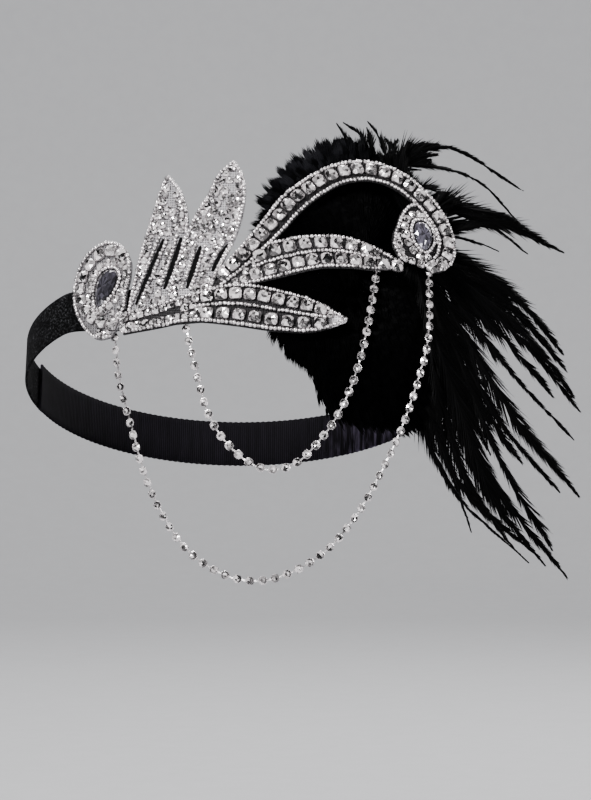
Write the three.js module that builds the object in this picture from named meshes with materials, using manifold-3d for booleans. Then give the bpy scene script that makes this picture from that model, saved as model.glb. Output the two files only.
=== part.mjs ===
// A flapper headpiece: a velvet ribbon and elastic headband, a rhinestone applique on its front, two drapes
// of cup chain below the applique, and a black feather pad and plume spray behind its right side.
// Units are millimetres. +Z is up, +Y points to the back of the head and +X to the right of the front view.
// The origin is the middle of the band loop, where the headpiece sits on a head.
import * as THREE from 'three';
import { mergeVertices } from 'three/addons/utils/BufferGeometryUtils.js';
import Module from 'manifold-3d';

const wasm = await Module();
wasm.setup();

// Driving dimensions
const GAP = 0.3; // clearance between pieces that are sewn or glued together
const LOOP = { halfAcross: 94, halfDeep: 78, tilt: THREE.MathUtils.degToRad(27.5) };
const RIBBON = { width: 20, thick: 1.2, steps: 46 };
const ELASTIC = { width: 23, thick: 1.2, steps: 30 };
const SEAM = { bearing: THREE.MathUtils.degToRad(19), lap: THREE.MathUtils.degToRad(5) };
const FRONT_DROP = { rise: 10.5, starts: 0.6, ends: 0.95 }; // the ribbon runs level behind the applique
const SHEET = { centre: 14, halfAcross: 111, halfDeep: 83.8 }; // the plan curve that the applique follows
const GROUND_THICK = 1.2; // the stiff mesh that the stones are sewn to
const ROW_STONE = { sides: 8, radius: 2.7, cup: 1.0, crown: 1.0, table: 0.55, pitch: 6.1 };
const CHAIN_STONE = { sides: 10, radius: 2.0, cup: 1.3, crown: 1.0, table: 0.55, pitch: 5.3 };
const CHAIN_SETBACK = 3.1; // how far the back of a chain's cups lies behind the applique
const FOLD_LEVEL = { z: 10, soft: 4 }; // above it soft pieces lean with the band, below it they hang plumb
const SIDE_LIMIT = 0.98; // the share of a plan curve's half width that soft pieces follow
const MERGE_WITHIN = 1e-4; // corners closer than this are one corner

// Motifs of the applique: stations of each motif's middle line on the flat sheet, with half its width there
const MOTIFS = {
  paisley_left: [
    { u: -66.2, w: -19.4, half: 4.4 },
    { u: -70.5, w: -14.4, half: 9.6 },
    { u: -74, w: -5, half: 12.8 },
    { u: -75, w: 5, half: 15 },
    { u: -73.5, w: 15, half: 13.8 },
    { u: -72, w: 21.5, half: 9.5 },
    { u: -71.3, w: 24.6, half: 3.5 },
  ],
  leaf_lower: [
    { u: -63, w: -17.3, half: 5.2 },
    { u: -48, w: -17, half: 5.8 },
    { u: -33, w: -15.3, half: 6.8 },
    { u: -13.6, w: -15.3, half: 9.9 },
    { u: 5.2, w: -18.7, half: 9.8 },
    { u: 19.8, w: -20.7, half: 7.5 },
    { u: 33.4, w: -21, half: 0.8 },
  ],
  leaf_tall: [
    { u: -34, w: -10, half: 9 },
    { u: -29, w: 7, half: 10 },
    { u: -22.5, w: 24, half: 10.6 },
    { u: -18, w: 37, half: 8.6 },
    { u: -16, w: 48, half: 6 },
    { u: -14.7, w: 55.6, half: 0.8 },
  ],
  leaf_left: [
    { u: -52, w: -13, half: 9 },
    { u: -48, w: 6, half: 9.6 },
    { u: -43.5, w: 24, half: 9.6 },
    { u: -42.5, w: 38, half: 6.8 },
    { u: -43.2, w: 46, half: 4 },
    { u: -43.7, w: 51.5, half: 0.8 },
  ],
  scroll_arch: [
    { u: -25.5, w: -8, half: 3 },
    { u: -20.8, w: -3, half: 3.6 },
    { u: -12.7, w: 4.8, half: 4.5 },
    { u: -3.4, w: 15.9, half: 5 },
    { u: 4, w: 25.8, half: 5.5 },
    { u: 10.8, w: 35, half: 5.7 },
    { u: 18.9, w: 42.7, half: 5.5 },
    { u: 28.5, w: 49.8, half: 5.3 },
    { u: 39, w: 53.7, half: 5.2 },
    { u: 49.5, w: 54.4, half: 5.1 },
    { u: 60.1, w: 51.5, half: 5.1 },
    { u: 69.1, w: 45.8, half: 5.2 },
    { u: 76.5, w: 38.5, half: 5.1 },
    { u: 80.9, w: 30.1, half: 5 },
    { u: 80.3, w: 21.5, half: 4.8 },
    { u: 75.2, w: 14.6, half: 3.4 },
    { u: 70.5, w: 12.4, half: 1.8 },
  ],
  leaf_middle: [
    { u: -18, w: -4, half: 4.5 },
    { u: -12, w: -0.5, half: 6.5 },
    { u: 2, w: 5.6, half: 8.7 },
    { u: 19.9, w: 10.8, half: 8.3 },
    { u: 32.8, w: 11.9, half: 7.7 },
    { u: 46, w: 10.8, half: 5.6 },
    { u: 58, w: 10, half: 1.8 },
  ],
  paisley_right: [
    { u: 66.6, w: 43, half: 1.2 },
    { u: 65.2, w: 36.5, half: 6.6 },
    { u: 66, w: 27, half: 10.8 },
    { u: 65.2, w: 18.5, half: 11 },
    { u: 64.5, w: 12.6, half: 7.5 },
  ],
};
const MOTIF_STEPS = { scroll_arch: 30, leaf_lower: 14, paisley_left: 12 };
const USUAL_STEPS = 11;
const ROW_SAMPLES = 24; // points that trace a row of stones along its motif

// Rows of set stones: each follows a motif at a share of its half width, or a path of its own on the sheet
const STONE_ROWS = [
  { name: 'stones_arch', motif: 'scroll_arch', side: 0.12, from: 0.08, to: 0.97 },
  { name: 'stones_middle_upper', motif: 'leaf_middle', side: 0.48, from: 0.29, to: 0.78 },
  { name: 'stones_middle_lower', motif: 'leaf_middle', side: -0.48, from: 0.24, to: 0.97 },
  { name: 'stones_lower_upper', motif: 'leaf_lower', side: 0.5, from: 0.4, to: 0.86 },
  { name: 'stones_lower_lower', motif: 'leaf_lower', side: -0.5, from: 0.4, to: 0.86 },
  {
    name: 'stones_paisley_left',
    path: [
      { u: -68, w: -16.6 },
      { u: -75.4, w: -13 },
      { u: -82.6, w: -4.5 },
      { u: -85.6, w: 4 },
      { u: -83.6, w: 12.6 },
      { u: -78.4, w: 18.6 },
      { u: -71.4, w: 20.6 },
      { u: -64.6, w: 17 },
    ],
  },
];

// Big cut stones in the eyes of the two paisleys; narrowing draws one end in to a pear
const PEARS = [
  { name: 'pear_stone_left', u: -72.2, w: 2.2, length: 17.6, width: 9.4, narrowing: 0.34, lean: -20 },
  { name: 'pear_stone_right', u: 68.6, w: 27.2, length: 13.8, width: 8.8, narrowing: 0.16, lean: 4 },
];
const PEAR_SIDES = 14;
const PEAR_LAYERS = [
  { height: 0, share: 0.9 },
  { height: 1.0, share: 1 },
  { height: 2.2, share: 0.8 },
  { height: 3.0, share: 0.52 },
];

// Drapes: each hangs from one place behind the applique to another, through these points of the front view
const DRAPES = [
  {
    name: 'chain_short',
    from: { u: -35.2, w: -23 },
    hang: [
      { x: -16, z: -2 },
      { x: -10.5, z: -21 },
      { x: -1, z: -35 },
      { x: 12.5, z: -43.5 },
      { x: 24.5, z: -42 },
      { x: 39.5, z: -27 },
      { x: 49, z: -9 },
      { x: 55, z: 11.5 },
    ],
    to: { u: 48.4, w: 8.5 },
  },
  {
    name: 'chain_long',
    from: { u: -69, w: -20.5 },
    hang: [
      { x: -49, z: -5 },
      { x: -44, z: -24.5 },
      { x: -38.5, z: -44 },
      { x: -31, z: -61.5 },
      { x: -19.5, z: -78 },
      { x: -3, z: -88.5 },
      { x: 11, z: -90.5 },
      { x: 24, z: -87 },
      { x: 39, z: -77.5 },
      { x: 52, z: -62 },
      { x: 62, z: -44.5 },
      { x: 70.5, z: -26.5 },
      { x: 77, z: -8 },
      { x: 82, z: 11 },
    ],
    to: { u: 74.2, w: 12.8 },
  },
];

// Feather pad: a lens of short plumes whose locks reach this far from its middle at each bearing
const PAD = {
  x: 49,
  z: 34,
  plan: { centre: 4, halfAcross: 99.5, halfDeep: 81.4 },
  locks: 30,
  valley: 0.84,
  comb: THREE.MathUtils.degToRad(-5),
  edge: 0.35,
  halfThick: { least: 1.0, from: 15, slope: 0.055 },
};
const PAD_RINGS = [
  { share: 0.42, fullness: 1 },
  { share: 0.72, fullness: 0.8 },
];
const PAD_REACH = [
  { bearing: 0, reach: 42 },
  { bearing: 30, reach: 50 },
  { bearing: 60, reach: 60 },
  { bearing: 90, reach: 70 },
  { bearing: 120, reach: 63 },
  { bearing: 150, reach: 54 },
  { bearing: 180, reach: 43 },
  { bearing: 210, reach: 41 },
  { bearing: 240, reach: 43 },
  { bearing: 270, reach: 63 },
  { bearing: 300, reach: 72 },
  { bearing: 330, reach: 50 },
];

// Plume spray: quills bound in a flat head behind the right paisley. Each plume leaves the head at a place
// on the sheet (u, w), bends through a middle point and ends in its tip.
const QUILL_HEAD = { u: 67, w: 27, halfAlong: 6, halfUp: 9, front: -0.5, back: -5.5, steps: 2 };
const PLUME = {
  rootDepth: -3,
  exitDepth: -7,
  thick: 1.6,
  stations: 7,
  facing: new THREE.Vector3(0.35, -1, 0).normalize(),
  vane: { from: 0.12, span: 0.85 }, // the stretch of a half wave that a plume's width follows
};
const PLUMES = [
  { root: { u: 67, w: 33 }, exit: { u: 60, w: 65 }, mid: [92, -22, 97], tip: [127, -10, 79], width: 11 },
  { root: { u: 67, w: 32 }, exit: { u: 63, w: 65 }, mid: [103, -24, 84], tip: [126, -12, 64], width: 10 },
  { root: { u: 68, w: 31 }, exit: { u: 84, w: 44 }, mid: [116, -24, 65], tip: [145, -8, 51], width: 11 },
  { root: { u: 69, w: 30 }, exit: { u: 88, w: 39 }, mid: [110, -26, 61], tip: [130, -14, 49], width: 9 },
  { root: { u: 69, w: 28 }, exit: { u: 90, w: 32 }, mid: [111, -28, 41], tip: [136, -16, 18], width: 13 },
  { root: { u: 69, w: 27 }, exit: { u: 90, w: 26 }, mid: [121, -28, 26], tip: [146, -14, -1], width: 14 },
  { root: { u: 69, w: 26 }, exit: { u: 89, w: 20 }, mid: [124, -33, 12], tip: [150, -18, -19], width: 14 },
  { root: { u: 69, w: 25 }, exit: { u: 87, w: 13 }, mid: [122, -37, -4], tip: [149, -24, -32], width: 12 },
  { root: { u: 68, w: 24 }, exit: { u: 86, w: 8 }, mid: [121, -42, -20], tip: [149, -28, -56], width: 13 },
  { root: { u: 68, w: 22 }, exit: { u: 84, w: 3 }, mid: [114, -46, -36], tip: [138, -32, -79], width: 12 },
  { root: { u: 67, w: 21 }, exit: { u: 82, w: -1 }, mid: [108, -49, -44], tip: [143, -36, -92], width: 12 },
  { root: { u: 67, w: 20 }, exit: { u: 79, w: -4 }, mid: [101, -53, -46], tip: [127, -42, -86], width: 14 },
  { root: { u: 66, w: 20 }, exit: { u: 76, w: -6 }, mid: [91, -55, -36], tip: [103, -50, -74], width: 9 },
];

// Finishes
const FINISHES = {
  velvet: { color: 0x0b0b0d, roughness: 0.95, metalness: 0 },
  elastic: { color: 0x16131a, roughness: 0.75, metalness: 0 },
  ground: { color: 0xb9b6bf, roughness: 0.6, metalness: 0.2 },
  rhinestone: { color: 0xe6e6ee, roughness: 0.15, metalness: 0.6 },
  slate: { color: 0x5a5668, roughness: 0.15, metalness: 0.1 },
  feather: { color: 0x08080a, roughness: 0.8, metalness: 0 },
};

// Axes of the tilted loop: across it, deep into it and up the band's width
const ACROSS = new THREE.Vector3(1, 0, 0);
const DEEP = new THREE.Vector3(0, Math.cos(LOOP.tilt), -Math.sin(LOOP.tilt));
const RISE = new THREE.Vector3(0, Math.sin(LOOP.tilt), Math.cos(LOOP.tilt));

function place(across, deep, rise) {
  const point = new THREE.Vector3();
  point.addScaledVector(ACROSS, across);
  point.addScaledVector(DEEP, deep);
  return point.addScaledVector(RISE, rise);
}

// Closed surfaces
function signedVolume(points, triangles) {
  const cross = new THREE.Vector3();
  const wedge = ([a, b, c]) => cross.crossVectors(points[a], points[b]).dot(points[c]);
  return triangles.reduce((sum, triangle) => sum + wedge(triangle), 0);
}

function closedGeometry(points, triangles) {
  const inward = signedVolume(points, triangles) < 0;
  const geometry = new THREE.BufferGeometry();
  const positions = points.flatMap((point) => point.toArray());
  geometry.setAttribute('position', new THREE.Float32BufferAttribute(positions, 3));
  geometry.setIndex(triangles.flatMap(([a, b, c]) => (inward ? [a, c, b] : [a, b, c])));
  return geometry;
}

function quad(a, b, c, d) {
  return [[a, b, c], [a, c, d]];
}

// The triangles of a skin through rings of equal point counts, closed by flat ends
function loft(rings) {
  const count = rings[0].length;
  const last = (rings.length - 1) * count;
  const triangles = [];
  for (let ring = 0; ring < rings.length - 1; ring += 1) {
    const here = ring * count;
    const there = here + count;
    for (let side = 0; side < count; side += 1) {
      const next = (side + 1) % count;
      triangles.push(...quad(here + side, here + next, there + next, there + side));
    }
  }
  for (let side = 1; side < count - 1; side += 1) {
    triangles.push([0, side + 1, side]);
    triangles.push([last, last + side, last + side + 1]);
  }
  return closedGeometry(rings.flat(), triangles);
}

// Joining and cutting
function toSolid(geometry) {
  const merged = mergeVertices(geometry, MERGE_WITHIN);
  return new wasm.Manifold(new wasm.Mesh({
    numProp: 3,
    vertProperties: new Float32Array(merged.attributes.position.array),
    triVerts: new Uint32Array(merged.index.array),
  }));
}

function toGeometry(solid) {
  const mesh = solid.getMesh();
  const geometry = new THREE.BufferGeometry();
  geometry.setAttribute('position', new THREE.Float32BufferAttribute(mesh.vertProperties, 3));
  geometry.setIndex(Array.from(mesh.triVerts));
  return geometry;
}

function fuse(geometries) {
  const solids = geometries.map(toSolid);
  return toGeometry(solids.reduce((whole, solid) => whole.add(solid)));
}

function evenly(steps, make) {
  return Array.from({ length: steps + 1 }, (_, step) => make(step / steps));
}

// Headband: strips between two bearings of the loop, counted from the right and turning to the back
function bandStrip({ inner, outer, width, fromBearing, toBearing, steps }) {
  return loft(evenly(steps, (share) => {
    const bearing = THREE.MathUtils.lerp(fromBearing, toBearing, share);
    const forward = -Math.sin(bearing);
    const drop = FRONT_DROP.rise * THREE.MathUtils.smoothstep(forward, FRONT_DROP.starts, FRONT_DROP.ends);
    const corner = (offset, rise) => place(
      (LOOP.halfAcross + offset) * Math.cos(bearing),
      (LOOP.halfDeep + offset) * Math.sin(bearing),
      rise - drop,
    );
    const half = width / 2;
    return [corner(inner, -half), corner(outer, -half), corner(outer, half), corner(inner, half)];
  }));
}

function frontRibbon() {
  return bandStrip({
    inner: 0,
    outer: RIBBON.thick,
    width: RIBBON.width,
    fromBearing: Math.PI - SEAM.bearing,
    toBearing: 2 * Math.PI + SEAM.bearing,
    steps: RIBBON.steps,
  });
}

function backElastic() {
  return bandStrip({
    inner: -GAP - ELASTIC.thick,
    outer: -GAP,
    width: ELASTIC.width,
    fromBearing: SEAM.bearing - SEAM.lap,
    toBearing: Math.PI - SEAM.bearing + SEAM.lap,
    steps: ELASTIC.steps,
  });
}

// Applique sheet: u runs along it from its foremost line, w up it and h out from its back face
const sheetPlan = new THREE.EllipseCurve(
  SHEET.centre,
  0,
  SHEET.halfAcross,
  SHEET.halfDeep,
  Math.PI,
  2 * Math.PI,
);
sheetPlan.arcLengthDivisions = 1000;
const sheetLength = sheetPlan.getLength();

function sheetFrame(u, w, h) {
  const share = u / sheetLength + 0.5;
  const plan = sheetPlan.getPointAt(share);
  const run = sheetPlan.getTangentAt(share);
  return {
    at: place(plan.x + run.y * h, plan.y - run.x * h, w),
    along: place(run.x, run.y, 0),
    up: RISE,
    out: place(run.y, -run.x, 0),
  };
}

function sheetPoint(u, w, h) {
  return sheetFrame(u, w, h).at;
}

// A motif's middle line, with its half width as the third coordinate
function motifSpine(motif) {
  return new THREE.CatmullRomCurve3(MOTIFS[motif].map(({ u, w, half }) => new THREE.Vector3(u, w, half)));
}

function motifStation(spine, share) {
  const at = spine.getPoint(share);
  const run = spine.getTangent(share).setZ(0).normalize();
  return { u: at.x, w: at.y, half: at.z, sideU: -run.y, sideW: run.x };
}

// A motif's plate, grown by a margin at its sides and beyond its two ends
function endSign(share) {
  if (share === 0) return -1;
  return share === 1 ? 1 : 0;
}

function motifPlate(motif, grow, back, front) {
  const spine = motifSpine(motif);
  return loft(evenly(MOTIF_STEPS[motif] ?? USUAL_STEPS, (share) => {
    const { u, w, half, sideU, sideW } = motifStation(spine, share);
    const reach = half + grow;
    const beyond = grow * endSign(share);
    const middle = { u: u + sideW * beyond, w: w - sideU * beyond };
    const point = (side, h) => sheetPoint(middle.u + sideU * side, middle.w + sideW * side, h);
    return [
      point(-reach, front),
      point(-reach, back),
      point(0, back),
      point(reach, back),
      point(reach, front),
      point(0, front),
    ];
  }));
}

// Each motif is cut clear of the motifs before it in the table
function motifGeometries() {
  const cutters = [];
  const cut = (plate) => cutters.reduce((rest, cutter) => rest.subtract(cutter), toSolid(plate));
  return Object.keys(MOTIFS).map((name) => {
    const whole = motifPlate(name, 0, 0, GROUND_THICK);
    const geometry = cutters.length > 0 ? toGeometry(cut(whole)) : whole;
    cutters.push(toSolid(motifPlate(name, GAP, -GROUND_THICK, 2 * GROUND_THICK)));
    return { name, geometry };
  });
}

// Set stones in a row: each is a cup with a cut stone, joined to the next by a bar as wide as one facet
const CUP_LAYERS = 3; // foot, girdle and table

function cupVertices({ at, along, out }, stone) {
  const across = new THREE.Vector3().crossVectors(out, along);
  const layers = [
    { height: 0, radius: stone.radius },
    { height: stone.cup, radius: stone.radius },
    { height: stone.cup + stone.crown, radius: stone.radius * stone.table },
  ];
  return layers.flatMap(({ height, radius }) => Array.from({ length: stone.sides }, (_, corner) => {
    const angle = ((corner + 0.5) * 2 * Math.PI) / stone.sides;
    const point = at.clone().addScaledVector(out, height);
    point.addScaledVector(along, radius * Math.cos(angle));
    return point.addScaledVector(across, radius * Math.sin(angle));
  }));
}

function cupRow(stations, stone) {
  const { sides } = stone;
  const frontFacet = sides - 1;
  const rearFacet = sides / 2 - 1;
  const table = CUP_LAYERS - 1;
  const points = stations.flatMap((station) => cupVertices(station, stone));
  const vertex = (cup, layer, corner) => (cup * CUP_LAYERS + layer) * sides + (corner % sides);
  const triangles = [];
  stations.forEach((_, cup) => {
    for (let corner = 0; corner < sides; corner += 1) {
      const joinedAhead = corner === frontFacet && cup < stations.length - 1;
      const joinedBehind = corner === rearFacet && cup > 0;
      for (let layer = joinedAhead || joinedBehind ? 1 : 0; layer < table; layer += 1) {
        triangles.push(...quad(
          vertex(cup, layer, corner),
          vertex(cup, layer, corner + 1),
          vertex(cup, layer + 1, corner + 1),
          vertex(cup, layer + 1, corner),
        ));
      }
    }
    for (let corner = 1; corner < sides - 1; corner += 1) {
      triangles.push([vertex(cup, table, 0), vertex(cup, table, corner), vertex(cup, table, corner + 1)]);
      triangles.push([vertex(cup, 0, 0), vertex(cup, 0, corner + 1), vertex(cup, 0, corner)]);
    }
    if (cup < stations.length - 1) {
      const near = (layer, corner) => vertex(cup, layer, corner);
      const far = (layer, corner) => vertex(cup + 1, layer, corner);
      const [low, high] = [frontFacet, frontFacet + 1];
      const [farHigh, farLow] = [rearFacet, rearFacet + 1];
      triangles.push(...quad(near(0, high), near(1, high), far(1, farHigh), far(0, farHigh)));
      triangles.push(...quad(near(0, low), far(0, farLow), far(1, farLow), near(1, low)));
      triangles.push(...quad(near(1, low), far(1, farLow), far(1, farHigh), near(1, high)));
      triangles.push(...quad(near(0, low), near(0, high), far(0, farHigh), far(0, farLow)));
    }
  });
  return closedGeometry(points, triangles);
}

// Frames for the cups at even steps of a path, turned along it and squared to the given outward direction
function cupStations(places, outward) {
  return places.map((at, index) => {
    const before = places[Math.max(index - 1, 0)];
    const after = places[Math.min(index + 1, places.length - 1)];
    const along = new THREE.Vector3().subVectors(after, before).normalize();
    const out = outward(at, index);
    out.addScaledVector(along, -out.dot(along)).normalize();
    return { at, along, out };
  });
}

function stoneRow({ motif, side, from, to, path }) {
  const spine = motif && motifSpine(motif);
  const flat = path
    ? path.map(({ u, w }) => new THREE.Vector3(u, w, 0))
    : evenly(ROW_SAMPLES, (share) => {
      const at = motifStation(spine, THREE.MathUtils.lerp(from, to, share));
      return new THREE.Vector3(at.u + at.sideU * at.half * side, at.w + at.sideW * at.half * side, 0);
    });
  const curve = new THREE.CatmullRomCurve3(flat);
  const spots = curve.getSpacedPoints(Math.round(curve.getLength() / ROW_STONE.pitch));
  const places = spots.map((spot) => sheetPoint(spot.x, spot.y, GROUND_THICK + GAP));
  const outward = (_, index) => sheetFrame(spots[index].x, spots[index].y, 0).out;
  return cupRow(cupStations(places, outward), ROW_STONE);
}

// Pear stones: a flat back, a girdle, a ring of crown facets and a table
function pearStone({ u, w, length, width, narrowing, lean }) {
  const { at, along, up, out } = sheetFrame(u, w, GROUND_THICK + GAP);
  const turn = THREE.MathUtils.degToRad(lean);
  const long = up.clone().multiplyScalar(Math.cos(turn)).addScaledVector(along, -Math.sin(turn));
  const broad = along.clone().multiplyScalar(Math.cos(turn)).addScaledVector(up, Math.sin(turn));
  return loft(PEAR_LAYERS.map(({ height, share }) => Array.from({ length: PEAR_SIDES }, (_, corner) => {
    const angle = (corner * 2 * Math.PI) / PEAR_SIDES;
    const spread = Math.sin(angle) * (1 + narrowing * Math.cos(angle));
    const point = at.clone().addScaledVector(out, height);
    point.addScaledVector(long, (share * length * Math.cos(angle)) / 2);
    return point.addScaledVector(broad, (share * width * spread) / 2);
  })));
}

// Depth of a soft surface that follows a plan curve: it leans with the band and hangs plumb below the fold
function softDepth(plan, x, z) {
  const offset = THREE.MathUtils.clamp((x - plan.centre) / plan.halfAcross, -SIDE_LIMIT, SIDE_LIMIT);
  const deep = -plan.halfDeep * Math.sqrt(1 - offset * offset);
  const lift = FOLD_LEVEL.soft * Math.log1p(Math.exp((z - FOLD_LEVEL.z) / FOLD_LEVEL.soft));
  return deep / Math.cos(LOOP.tilt) + (FOLD_LEVEL.z + lift) * Math.tan(LOOP.tilt);
}

// Chain drapes
const drapePlan = {
  centre: SHEET.centre,
  halfAcross: SHEET.halfAcross - CHAIN_SETBACK,
  halfDeep: SHEET.halfDeep - CHAIN_SETBACK,
};

function drapeOutward({ x, z }) {
  const step = 0.5;
  const slopeX = (softDepth(drapePlan, x + step, z) - softDepth(drapePlan, x - step, z)) / (2 * step);
  const slopeZ = (softDepth(drapePlan, x, z + step) - softDepth(drapePlan, x, z - step)) / (2 * step);
  return new THREE.Vector3(slopeX, -1, slopeZ).normalize();
}

function chainDrape({ from, hang, to }) {
  const curve = new THREE.CatmullRomCurve3([
    sheetPoint(from.u, from.w, -CHAIN_SETBACK),
    ...hang.map(({ x, z }) => new THREE.Vector3(x, softDepth(drapePlan, x, z), z)),
    sheetPoint(to.u, to.w, -CHAIN_SETBACK),
  ]);
  const places = curve.getSpacedPoints(Math.round(curve.getLength() / CHAIN_STONE.pitch));
  return cupRow(cupStations(places, drapeOutward), CHAIN_STONE);
}

// Feather pad
function padReach(bearing) {
  const spacing = 360 / PAD_REACH.length;
  const turn = THREE.MathUtils.euclideanModulo(THREE.MathUtils.radToDeg(bearing), 360);
  const row = Math.floor(turn / spacing);
  const here = PAD_REACH[row].reach;
  const next = PAD_REACH[(row + 1) % PAD_REACH.length].reach;
  return THREE.MathUtils.lerp(here, next, THREE.MathUtils.smoothstep(turn - row * spacing, 0, spacing));
}

function padPoint(x, z, face, fullness) {
  const { least, from, slope } = PAD.halfThick;
  const halfThick = least + slope * Math.max(x - from, 0);
  const swell = Math.max(halfThick * fullness, PAD.edge);
  return new THREE.Vector3(x, softDepth(PAD.plan, x, z) + face * swell, z);
}

function featherPad() {
  const spokes = 2 * PAD.locks;
  const rim = { share: 1, fullness: 0 };
  const rings = [...PAD_RINGS, rim];
  const facePoints = (face) => [
    padPoint(PAD.x, PAD.z, face, 1),
    ...rings.flatMap(({ share, fullness }) => Array.from({ length: spokes }, (_, spoke) => {
      const atRim = share === 1;
      const bearing = (spoke * 2 * Math.PI) / spokes + (atRim && spoke % 2 === 0 ? PAD.comb : 0);
      const notch = atRim && spoke % 2 === 1 ? PAD.valley : 1;
      const reach = padReach(bearing) * share * notch;
      return padPoint(PAD.x + reach * Math.cos(bearing), PAD.z + reach * Math.sin(bearing), face, fullness);
    })),
  ];
  const points = [...facePoints(-1), ...facePoints(1)];
  const faceSize = points.length / 2;
  const vertex = (face, ring, spoke) => face * faceSize + 1 + ring * spokes + (spoke % spokes);
  const triangles = [];
  const lastRing = rings.length - 1;
  for (let spoke = 0; spoke < spokes; spoke += 1) {
    triangles.push([0, vertex(0, 0, spoke), vertex(0, 0, spoke + 1)]);
    triangles.push([faceSize, vertex(1, 0, spoke + 1), vertex(1, 0, spoke)]);
    for (let ring = 0; ring < lastRing; ring += 1) {
      const inner = (face, step) => vertex(face, ring, spoke + step);
      const outer = (face, step) => vertex(face, ring + 1, spoke + step);
      triangles.push(...quad(inner(0, 0), outer(0, 0), outer(0, 1), inner(0, 1)));
      triangles.push(...quad(inner(1, 0), inner(1, 1), outer(1, 1), outer(1, 0)));
    }
    const edge = (face, step) => vertex(face, lastRing, spoke + step);
    triangles.push(...quad(edge(0, 0), edge(1, 0), edge(1, 1), edge(0, 1)));
  }
  return closedGeometry(points, triangles);
}

// Plume spray
function plumeStrip({ root, exit, mid, tip, width }) {
  const curve = new THREE.CatmullRomCurve3([
    sheetPoint(root.u, root.w, PLUME.rootDepth),
    sheetPoint(exit.u, exit.w, PLUME.exitDepth),
    new THREE.Vector3(...mid),
    new THREE.Vector3(...tip),
  ]);
  return loft(evenly(PLUME.stations, (share) => {
    const at = curve.getPointAt(share);
    const run = curve.getTangentAt(share);
    const side = new THREE.Vector3().crossVectors(run, PLUME.facing).normalize();
    const out = new THREE.Vector3().crossVectors(side, run);
    const vane = Math.sin(Math.PI * (PLUME.vane.from + PLUME.vane.span * share));
    const half = (width / 2) * vane;
    const thick = (PLUME.thick / 2) * Math.sqrt(vane);
    const point = (across, proud) => at.clone().addScaledVector(side, across).addScaledVector(out, proud);
    return [point(-half, 0), point(0, thick), point(half, 0), point(0, -thick)];
  }));
}

function quillHead() {
  const { u, w, halfAlong, halfUp, front, back, steps } = QUILL_HEAD;
  return loft(evenly(steps, (share) => {
    const along = u + halfAlong * (2 * share - 1);
    return [
      sheetPoint(along, w - halfUp, back),
      sheetPoint(along, w + halfUp, back),
      sheetPoint(along, w + halfUp, front),
      sheetPoint(along, w - halfUp, front),
    ];
  }));
}

function plumeSpray() {
  return fuse([quillHead(), ...PLUMES.map(plumeStrip)]);
}

// Assembly
const headpiece = new THREE.Group();

function addPiece(name, geometry, finish) {
  const mesh = new THREE.Mesh(geometry, new THREE.MeshStandardMaterial(FINISHES[finish]));
  mesh.name = name;
  headpiece.add(mesh);
}

addPiece('ribbon_front', frontRibbon(), 'velvet');
addPiece('elastic_back', backElastic(), 'elastic');
motifGeometries().forEach(({ name, geometry }) => addPiece(name, geometry, 'ground'));
STONE_ROWS.forEach((row) => addPiece(row.name, stoneRow(row), 'rhinestone'));
PEARS.forEach((pear) => addPiece(pear.name, pearStone(pear), 'slate'));
DRAPES.forEach((drape) => addPiece(drape.name, chainDrape(drape), 'rhinestone'));
addPiece('feather_pad', featherPad(), 'feather');
addPiece('plume_spray', plumeSpray(), 'feather');

export default headpiece;
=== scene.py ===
"""The looks of a flapper headpiece: velvet, elastic, stones, chains and feathers."""
import math
from collections import namedtuple

import bmesh
import bpy
import numpy as np
from bpy.props import FloatProperty, FloatVectorProperty, IntProperty, PointerProperty
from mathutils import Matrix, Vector


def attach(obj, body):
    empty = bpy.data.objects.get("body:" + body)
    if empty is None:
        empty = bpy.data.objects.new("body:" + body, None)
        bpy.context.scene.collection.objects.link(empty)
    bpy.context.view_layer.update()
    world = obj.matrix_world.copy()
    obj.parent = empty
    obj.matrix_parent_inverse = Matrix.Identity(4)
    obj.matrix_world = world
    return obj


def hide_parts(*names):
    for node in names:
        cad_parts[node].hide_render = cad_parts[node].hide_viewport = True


bl_info = {
    "name": "Flapper Headpiece",
    "version": (1, 0, 0),
    "blender": (4, 5, 0),
    "location": "3D View > Sidebar > Headpiece",
    "description": "Dresses the solids of a flapper headpiece in velvet, stones and feathers",
    "category": "Object",
}

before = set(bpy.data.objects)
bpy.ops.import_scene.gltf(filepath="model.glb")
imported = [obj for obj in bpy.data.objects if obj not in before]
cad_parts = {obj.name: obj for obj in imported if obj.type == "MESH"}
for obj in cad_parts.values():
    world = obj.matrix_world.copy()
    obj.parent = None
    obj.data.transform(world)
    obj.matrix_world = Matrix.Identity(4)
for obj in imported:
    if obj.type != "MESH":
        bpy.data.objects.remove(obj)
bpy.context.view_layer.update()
BODY = "root"
MM = 0.001

# Forms that the pieces share with the solids, in millimetres
TILT = math.radians(27.5)
ACROSS = np.array((1.0, 0.0, 0.0))
DEEP = np.array((0.0, math.cos(TILT), -math.sin(TILT)))
RISE = np.array((0.0, math.sin(TILT), math.cos(TILT)))
LOOP_HALF_ACROSS, LOOP_HALF_DEEP = 94.0, 78.0
SEAM_BEARING, SEAM_LAP = math.radians(19), math.radians(5)
FRONT_DROP, DROP_STARTS, DROP_ENDS = 10.5, 0.6, 0.95
SHEET_CENTRE, SHEET_HALF_ACROSS, SHEET_HALF_DEEP = 14.0, 111.0, 83.8
GROUND_THICK, GAP = 1.2, 0.3
STONE_SEAT = GROUND_THICK + GAP
CHAIN_SETBACK, CHAIN_PITCH, CHAIN_CLOSE = 3.1, 5.3, 0.995
FOLD_LEVEL, FOLD_SOFT, SIDE_LIMIT = 10.0, 4.0, 0.98
RIPPLE, RIPPLE_LENGTH, RIPPLE_POWER = 0.16, 2.6, 4
BAND_ROWS, BAND_TURNS = 9, 6  # samples across the band and round each of its edges
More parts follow.
